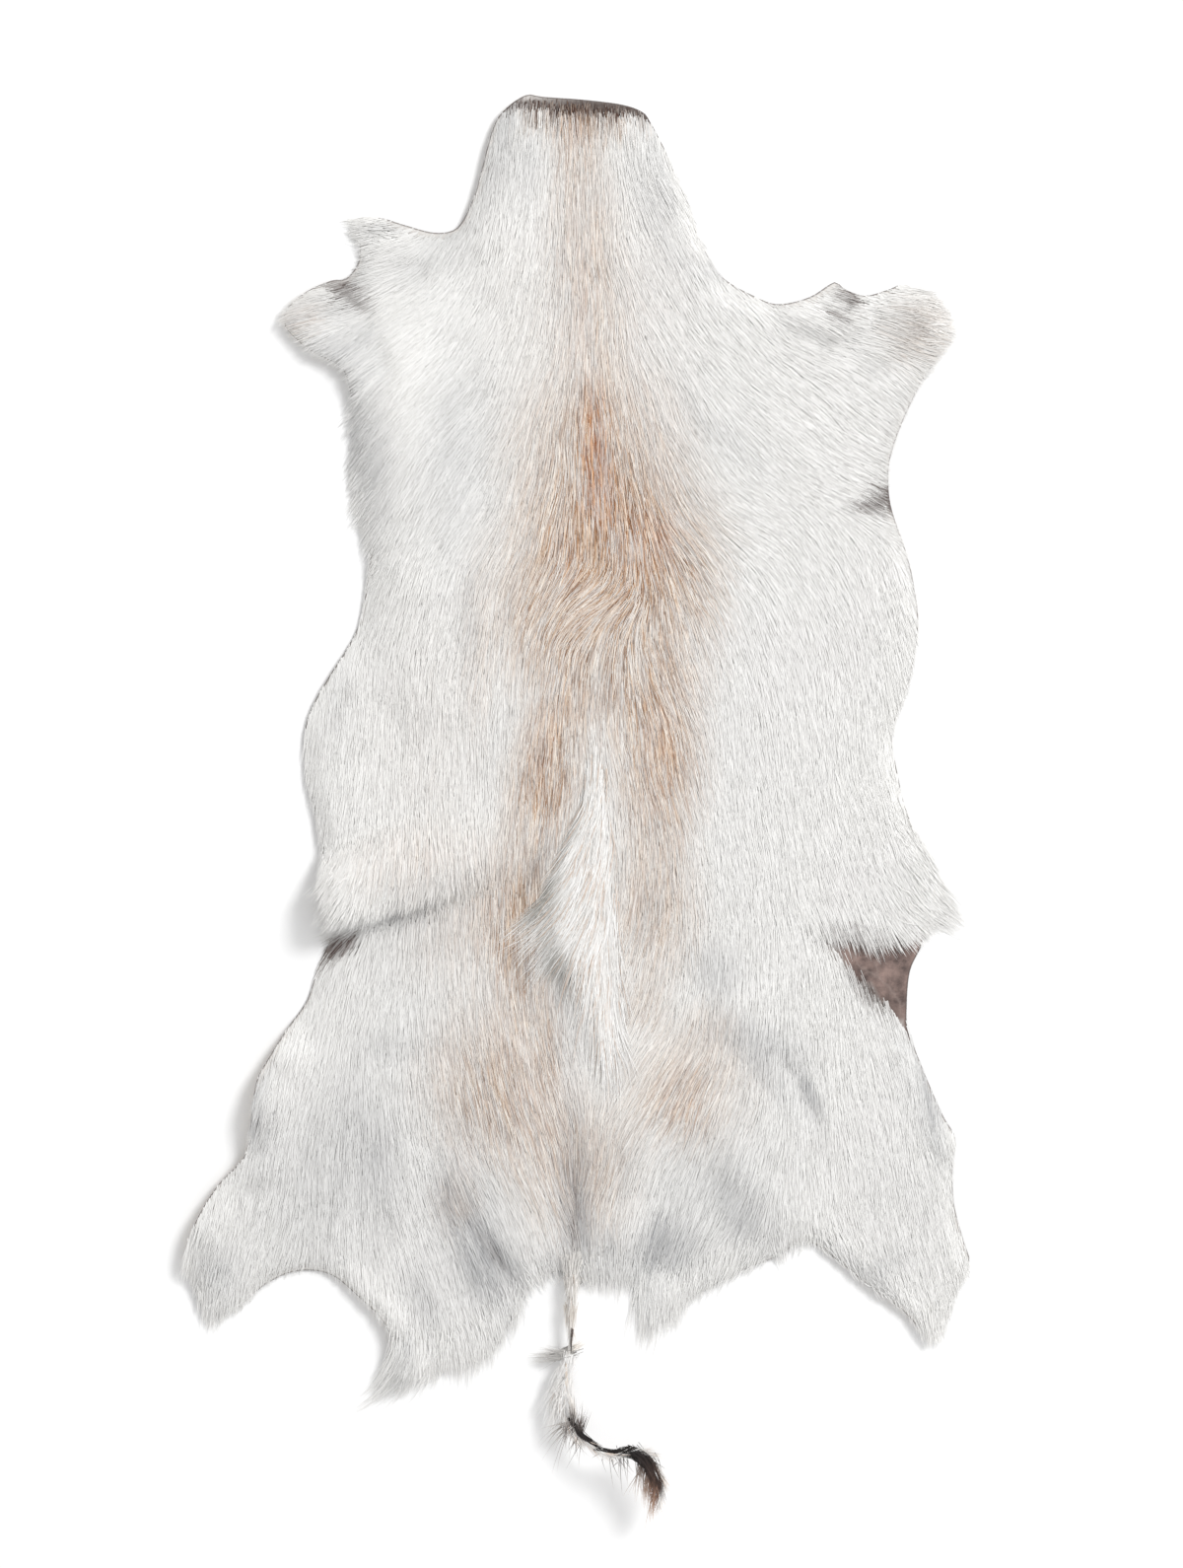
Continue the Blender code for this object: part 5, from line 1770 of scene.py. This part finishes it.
@dataclass
class BackFan(LongHair):
    """The fan of long white hair that opens along the spine of a springbok."""

    hairs: int = 7000
    tries: int = 4
    length: float = 56.0
    width: float = 0.65
    base: float = 2.6
    layers: float = 1.2
    stray: float = 0.1
    lie_softness: float = 8.0
    edge_lap: float = 1.0
    edge_blend: float = 12.0
    # The hair is shorter at the front end, and each hair and streak has its own length
    front_start: float = 22.0
    front_blend: float = 90.0
    front_length: float = 0.4
    length_spread: tuple = (0.4, 1.15)
    streak_least: float = 0.7
    streak_gain: float = 0.6
    # Heights as shares of the swell, and how deep the roots are
    lowest: float = 0.55
    layered: float = 0.45
    tip_fall: float = 0.45
    root_depth: float = 1.6

    def roots(self) -> np.ndarray:
        """Strews the roots over their patch on the spine, thinner towards its edge."""
        rng = self.maker.rng
        ring = np.array(FAN_ROOTS, float)
        roots = rng.uniform(ring.min(axis=0), ring.max(axis=0), (self.tries * self.hairs, 2))
        roots = roots[inside(roots, ring)]
        within = smooth_step((ring_facts(roots, ring)[0] + self.edge_lap) / self.edge_blend)
        return roots[rng.uniform(0, 1, len(roots)) < within][:self.hairs]

    def build(self) -> bpy.types.Object:
        """Grows the fan."""
        rng, roots = self.maker.rng, self.roots()
        count = len(roots)
        front = max(y for _, y in FAN_ROOTS) + self.front_start
        back = smooth_step((front - roots[:, 1]) / self.front_blend)
        lengths = self.length * (self.front_length + (1.0 - self.front_length) * back)
        lengths = lengths * rng.uniform(*self.length_spread, count)
        lengths *= self.streak_least + self.streak_gain * self.colours.fine.at(roots)
        lie = HairLie(np.array(FAN_LIE, float), self.lie_softness)
        plan = self.paths(roots, lengths, lie, self.stray)
        flat = plan.reshape(-1, 2)
        share = np.linspace(0.0, 1.0, self.rows)[None]
        swell = self.base + ridge_height(flat, FAN_RIDGE).reshape(plan.shape[:-1])
        layer = rng.uniform(0.0, 1.0, (count, 1))
        swell = swell * (self.lowest + self.layered * layer) * (1.0 - self.tip_fall * share ** 3)
        height = self.surface(plan) + swell
        height += self.layers * layer - self.root_depth * (1.0 - share) ** 2
        lines = np.concatenate([plan, height[:, :, None]], axis=2)
        colour = self.colours.fan(flat, *self.tones(count)).reshape(count, self.rows, 3)
        return self.maker.build("back_fan_hair", [(self.maker.blades(lines, self.width), colour)])


@dataclass
class RimHair(LongHair):
    """Hair at the rim that is longer than the coat and hangs out past the leather."""

    band: float = 17.0
    root_spread: float = 0.4
    width: float = 0.6
    stray: float = 0.1
    line_step: float = 1.0
    length_spread: tuple = (0.25, 1.0)
    length_power: float = 0.8
    clump: float = 0.4
    clump_gap: int = 7
    clump_grip: float = 1.5
    # Where the hair leaves the skin for the floor, and how high it lies over each
    edge_lap: float = 10.0
    edge_blend: float = 16.0
    over_skin: tuple = (0.6, 3.2)
    over_floor: tuple = (0.6, 3.0)
    fold_share: float = 0.7
    most_climb: float = 2.0

    def clumped(self, plan: np.ndarray, line: np.ndarray, length: float) -> np.ndarray:
        """Draws hairs together into soft clumps.

        Args:
            plan: Plan positions by hair and row.
            line: The line that the clumps start from.
            length: Length of a clump.

        Returns:
            The new plan positions.
        """
        number = max(2, len(line) // self.clump_gap)
        clumps = line[self.maker.rng.integers(0, len(line), number)]
        centre = self.paths(clumps, np.full(number, length), self.form.lie, self.stray)
        nearest = np.argmin(np.linalg.norm(plan[:, :1] - clumps[None], axis=2), axis=1)
        share = np.linspace(0.0, 1.0, self.rows)[None, :, None]
        shift = (centre[nearest] - plan) * (self.clump * share ** self.clump_grip)
        # A clump draws hair together sideways, not along its length
        way = unit(np.gradient(plan, axis=1))
        return plan + (shift - way * np.sum(shift * way, axis=2)[:, :, None])

    def heights(self, plan: np.ndarray) -> np.ndarray:
        """Heights by hair and row, over the coat's roots on the skin and near the floor past it."""
        rng, flat, each_hair = self.maker.rng, plan.reshape(-1, 2), (len(plan), 1)
        on_skin = (depth_inside(flat, self.form.edge) + self.edge_lap) / self.edge_blend
        on_skin = smooth_step(on_skin).reshape(plan.shape[:-1])
        top = self.surface(plan) + rng.uniform(*self.over_skin, each_hair)
        rest = self.fold_share * self.form.lift(flat).reshape(on_skin.shape)
        rest = rest + rng.uniform(*self.over_floor, each_hair)
        height = rest + (top - rest) * on_skin
        return np.minimum(height, height[:, :1] + self.most_climb)

    def stretch(self, fringe: Fringe) -> tuple:
        """Grows one stretch in soft clumps, and lets it settle on the floor past the edge."""
        rng = self.maker.rng
        line = spline_through(list(fringe.line), self.line_step, False)
        roots = line[rng.integers(0, len(line), fringe.hairs)]
        roots = roots + rng.normal(0, self.root_spread * self.band, roots.shape)
        roots = roots[inside(roots, self.form.edge)]
        count = len(roots)
        lengths = fringe.length * rng.uniform(*self.length_spread, count) ** self.length_power
        plan = self.paths(roots, lengths, self.form.lie, self.stray)
        plan = self.clumped(plan, line, fringe.length)
        lines = np.concatenate([plan, self.heights(plan)[:, :, None]], axis=2)
        colour = self.colours.coat(roots.repeat(self.rows, axis=0), *self.tones(count))
        return self.maker.blades(lines, self.width), colour.reshape(count, self.rows, 3)

    def build(self) -> bpy.types.Object:
        """Makes all the stretches as one piece."""
        return self.maker.build("rim_fringe_hair", [self.stretch(fringe) for fringe in FRINGES])


@dataclass
class Locks:
    """Tapering locks that stand away from the tail."""

    maker: BladeMaker
    rows: int = 6
    width: float = 0.5
    spread: float = 0.5
    tip_flatness: float = 0.4
    length_spread: tuple = (0.5, 1.08)
    bow_spread: tuple = (0.4, 1.6)
    arch: float = 0.08
    tone_spread: tuple = (0.84, 1.12)
    palest: float = 0.95

    def lock(self, lock: Lock) -> tuple:
        """Works out the blades and colours of one lock."""
        rng, count = self.maker.rng, lock.hairs
        root = rng.normal(0, self.spread, (count, 3)) * lock.root_spread + np.array(lock.root, float)
        spread = np.array((1.0, 1.0, self.tip_flatness)) * lock.tip_spread
        tip = rng.normal(0, self.spread, (count, 3)) * spread + np.array(lock.tip, float)
        tip = root + (tip - root) * rng.uniform(*self.length_spread, count)[:, None]
        run = tip - root
        side = unit(np.stack([-run[:, 1], run[:, 0], np.zeros(count)], axis=1))
        bow = lock.bow * rng.uniform(*self.bow_spread, count)
        middle = (root + tip) / 2 + side * bow[:, None]
        middle[:, 2] += self.arch * np.linalg.norm(run, axis=1)
        share = np.linspace(0.0, 1.0, self.rows)[None, :, None]
        lines = (
            (1 - share) ** 2 * root[:, None] + 2 * share * (1 - share) * middle[:, None]
            + share ** 2 * tip[:, None]
        )
        tone = rng.uniform(*self.tone_spread, (count, 1, 1))
        colour = linear(lock.root_colour) * (1 - share) + linear(lock.tip_colour) * share
        return self.maker.blades(lines, self.width), np.clip(colour * tone, 0.0, self.palest)

    def build(self, name: str, locks: list) -> bpy.types.Object:
        """Makes one piece of several locks."""
        return self.maker.build(name, [self.lock(lock) for lock in locks])


@dataclass
class Tail:
    """The thin tail: a skin core with lying white hair, and a dark tuft at its end."""

    tree: StrandTree
    colours: CoatColours
    maker: Locks
    finish: LeatherFinish
    step: float = 4.0
    sides: int = 10
    core_share: float = 0.45
    clearance: float = 0.5

    HAIR = {
        "Hairs per Square Metre": 700000.0, "Hair Width": 0.0009, "Hair Length": 0.024,
        "Rise": 0.16, "Rise Spread": 0.16, "Stray": 0.12, "Lock Pull": 0.25, "Segments": 3,
        "Seed": 9,
    }

    def skin(self, share: float) -> tuple:
        """A tube along the tail.

        Args:
            share: The tube's thickness as a share of the tail's.

        Returns:
            Positions, faces, and the direction along the tail at each position.
        """
        x, y, half_width, lift, thickness = spline_through(list(TAIL), self.step, False).T
        middle = np.column_stack([x, y, lift + thickness / 2 + self.clearance])
        forward = unit(np.gradient(middle, axis=0))
        side = unit(np.cross(forward, (0.0, 0.0, 1.0)))
        up = np.cross(side, forward)
        turn = np.linspace(0, 2 * math.pi, self.sides, endpoint=False)
        rings = (
            middle[:, None]
            + side[:, None] * (half_width[:, None] * np.cos(turn))[:, :, None] * share
            + up[:, None] * (thickness[:, None] / 2 * np.sin(turn))[:, :, None] * share
        )
        count, n = len(rings), self.sides
        places = np.concatenate([rings.reshape(-1, 3), middle[:1], middle[-1:]])
        faces = []
        for row in range(count - 1):
            for a in range(n):
                b = (a + 1) % n
                lower, upper = row * n, (row + 1) * n
                faces += [(lower + a, lower + b, upper + b), (lower + a, upper + b, upper + a)]
        for a in range(n):
            b = (a + 1) % n
            faces += [(b, a, count * n), ((count - 1) * n + a, (count - 1) * n + b, count * n + 1)]
        ways = np.concatenate([forward.repeat(n, axis=0), forward[:1], forward[-1:]])
        return places, np.array(faces), ways

    def build(self) -> list:
        """Makes the core, its hair and the locks."""
        places, faces, ways = self.skin(self.core_share)
        core = mesh_object("tail_skin", places * MM, faces)
        zones = {"haired": 1.0, "dark_hair_and_crease_shade": 0.0, "downside": 0.0, "cut_rim": 0.0}
        zones = {name: np.full(len(places), value) for name, value in zones.items()}
        dress_skin(core, zones, self.finish.material())
        full = np.ones(len(places))
        length = np.interp(-places[:, 1], *zip(*TAIL_HAIR))
        scalp = make_scalp("tail_scalp", places, faces, ways, {
            "density": full, "length": length, "rise": full,
        })
        hair_material = self.maker.maker.material
        hair = self.tree.grow(scalp, "tail_hair", {**self.HAIR, "Hair Material": hair_material})
        bpy.data.objects.remove(scalp, do_unlink=True)
        self.colours.paint(hair, Hair.TAIL)
        settle(hair)
        return [core, hair, self.maker.build("tail_locks", list(TAIL_LOCKS))]


@dataclass
class Studio:
    """The floor, the light and the camera."""

    centre: tuple = (8.8, 18.8)
    frame_height: float = 1.272
    camera_height: float = 4.0
    sensor: float = 36.0
    key_azimuth: float = 38.0
    key_elevation: float = 43.0
    key_distance: float = 6.4
    key_size: float = 2.4
    key_power: float = 275.0
    sky: float = 0.76
    floor_half: float = 14.0

    def build(self) -> None:
        """Sets up the floor, the lights, the world and the camera."""
        scene = bpy.context.scene
        side = self.floor_half
        floor = mesh_object("floor", np.array([
            (-side, -side, 0), (side, -side, 0), (side, side, 0), (-side, side, 0),
        ], float), np.array([(0, 1, 2, 3)]))
        floor.data.materials.append(FloorFinish().material())
        floor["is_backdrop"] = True
        x, y = self.centre[0] * MM, self.centre[1] * MM
        azimuth, elevation = math.radians(self.key_azimuth), math.radians(self.key_elevation)
        lamp = bpy.data.lights.new("key_softbox", "AREA")
        lamp.shape = "DISK"
        lamp.size = self.key_size
        lamp.energy = self.key_power
        key = bpy.data.objects.new("key_softbox", lamp)
        direction = Vector((
            math.cos(elevation) * math.cos(azimuth), math.cos(elevation) * math.sin(azimuth),
            math.sin(elevation),
        ))
        key.location = Vector((x, y, 0.0)) + direction * self.key_distance
        key.rotation_euler = direction.to_track_quat("Z", "Y").to_euler()
        scene.collection.objects.link(key)
        world = bpy.data.worlds.new("white_studio")
        world.use_nodes = True
        background = world.node_tree.nodes["Background"]
        background.inputs["Color"].default_value = (1.0, 1.0, 1.0, 1.0)
        background.inputs["Strength"].default_value = self.sky
        scene.world = world
        data = bpy.data.cameras.new("camera")
        data.sensor_fit = "VERTICAL"
        data.sensor_height = self.sensor
        data.lens = self.sensor * self.camera_height / self.frame_height
        camera = bpy.data.objects.new("camera", data)
        camera.location = (x, y, self.camera_height)
        scene.collection.objects.link(camera)
        scene.camera = camera
        scene.view_settings.view_transform = "Standard"


def main() -> None:
    """Builds the hide, its hair and the studio."""
    logging.basicConfig(level=logging.INFO, format="%(message)s")
    Studio().build()
    lie = HairLie(np.array([mark for group in HAIR_LIE.values() for mark in group], float))
    form = HideForm(lie)
    tree = StrandTree()
    low, high = form.edge.min(axis=0) - STREAK_MARGIN, form.edge.max(axis=0) + STREAK_MARGIN
    colours = CoatColours(Streaks(lie, low, high), Streaks(lie, low, high, cell=5.0, seed=7))
    hair = HairFinish().material()
    leather = Leather(form, LeatherFinish()).build()
    pieces = Coat(form, tree, colours, hair).build()
    maker = BladeMaker(hair)
    pieces.append(BackFan(form, colours, maker).build())
    pieces.append(RimHair(form, colours, maker).build())
    core, *tail = Tail(tree, colours, Locks(maker), LeatherFinish()).build()
    pieces += tail
    finish_piece(leather)
    finish_piece(core)
    for piece in pieces:
        finish_piece(piece)
    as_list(pieces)
    boxes = {"cad": CAD_BOX, "visual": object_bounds()}
    {name: [list(map(float, c)) for c in box] for name, box in boxes.items()}


if __name__ == "__main__":
    main()
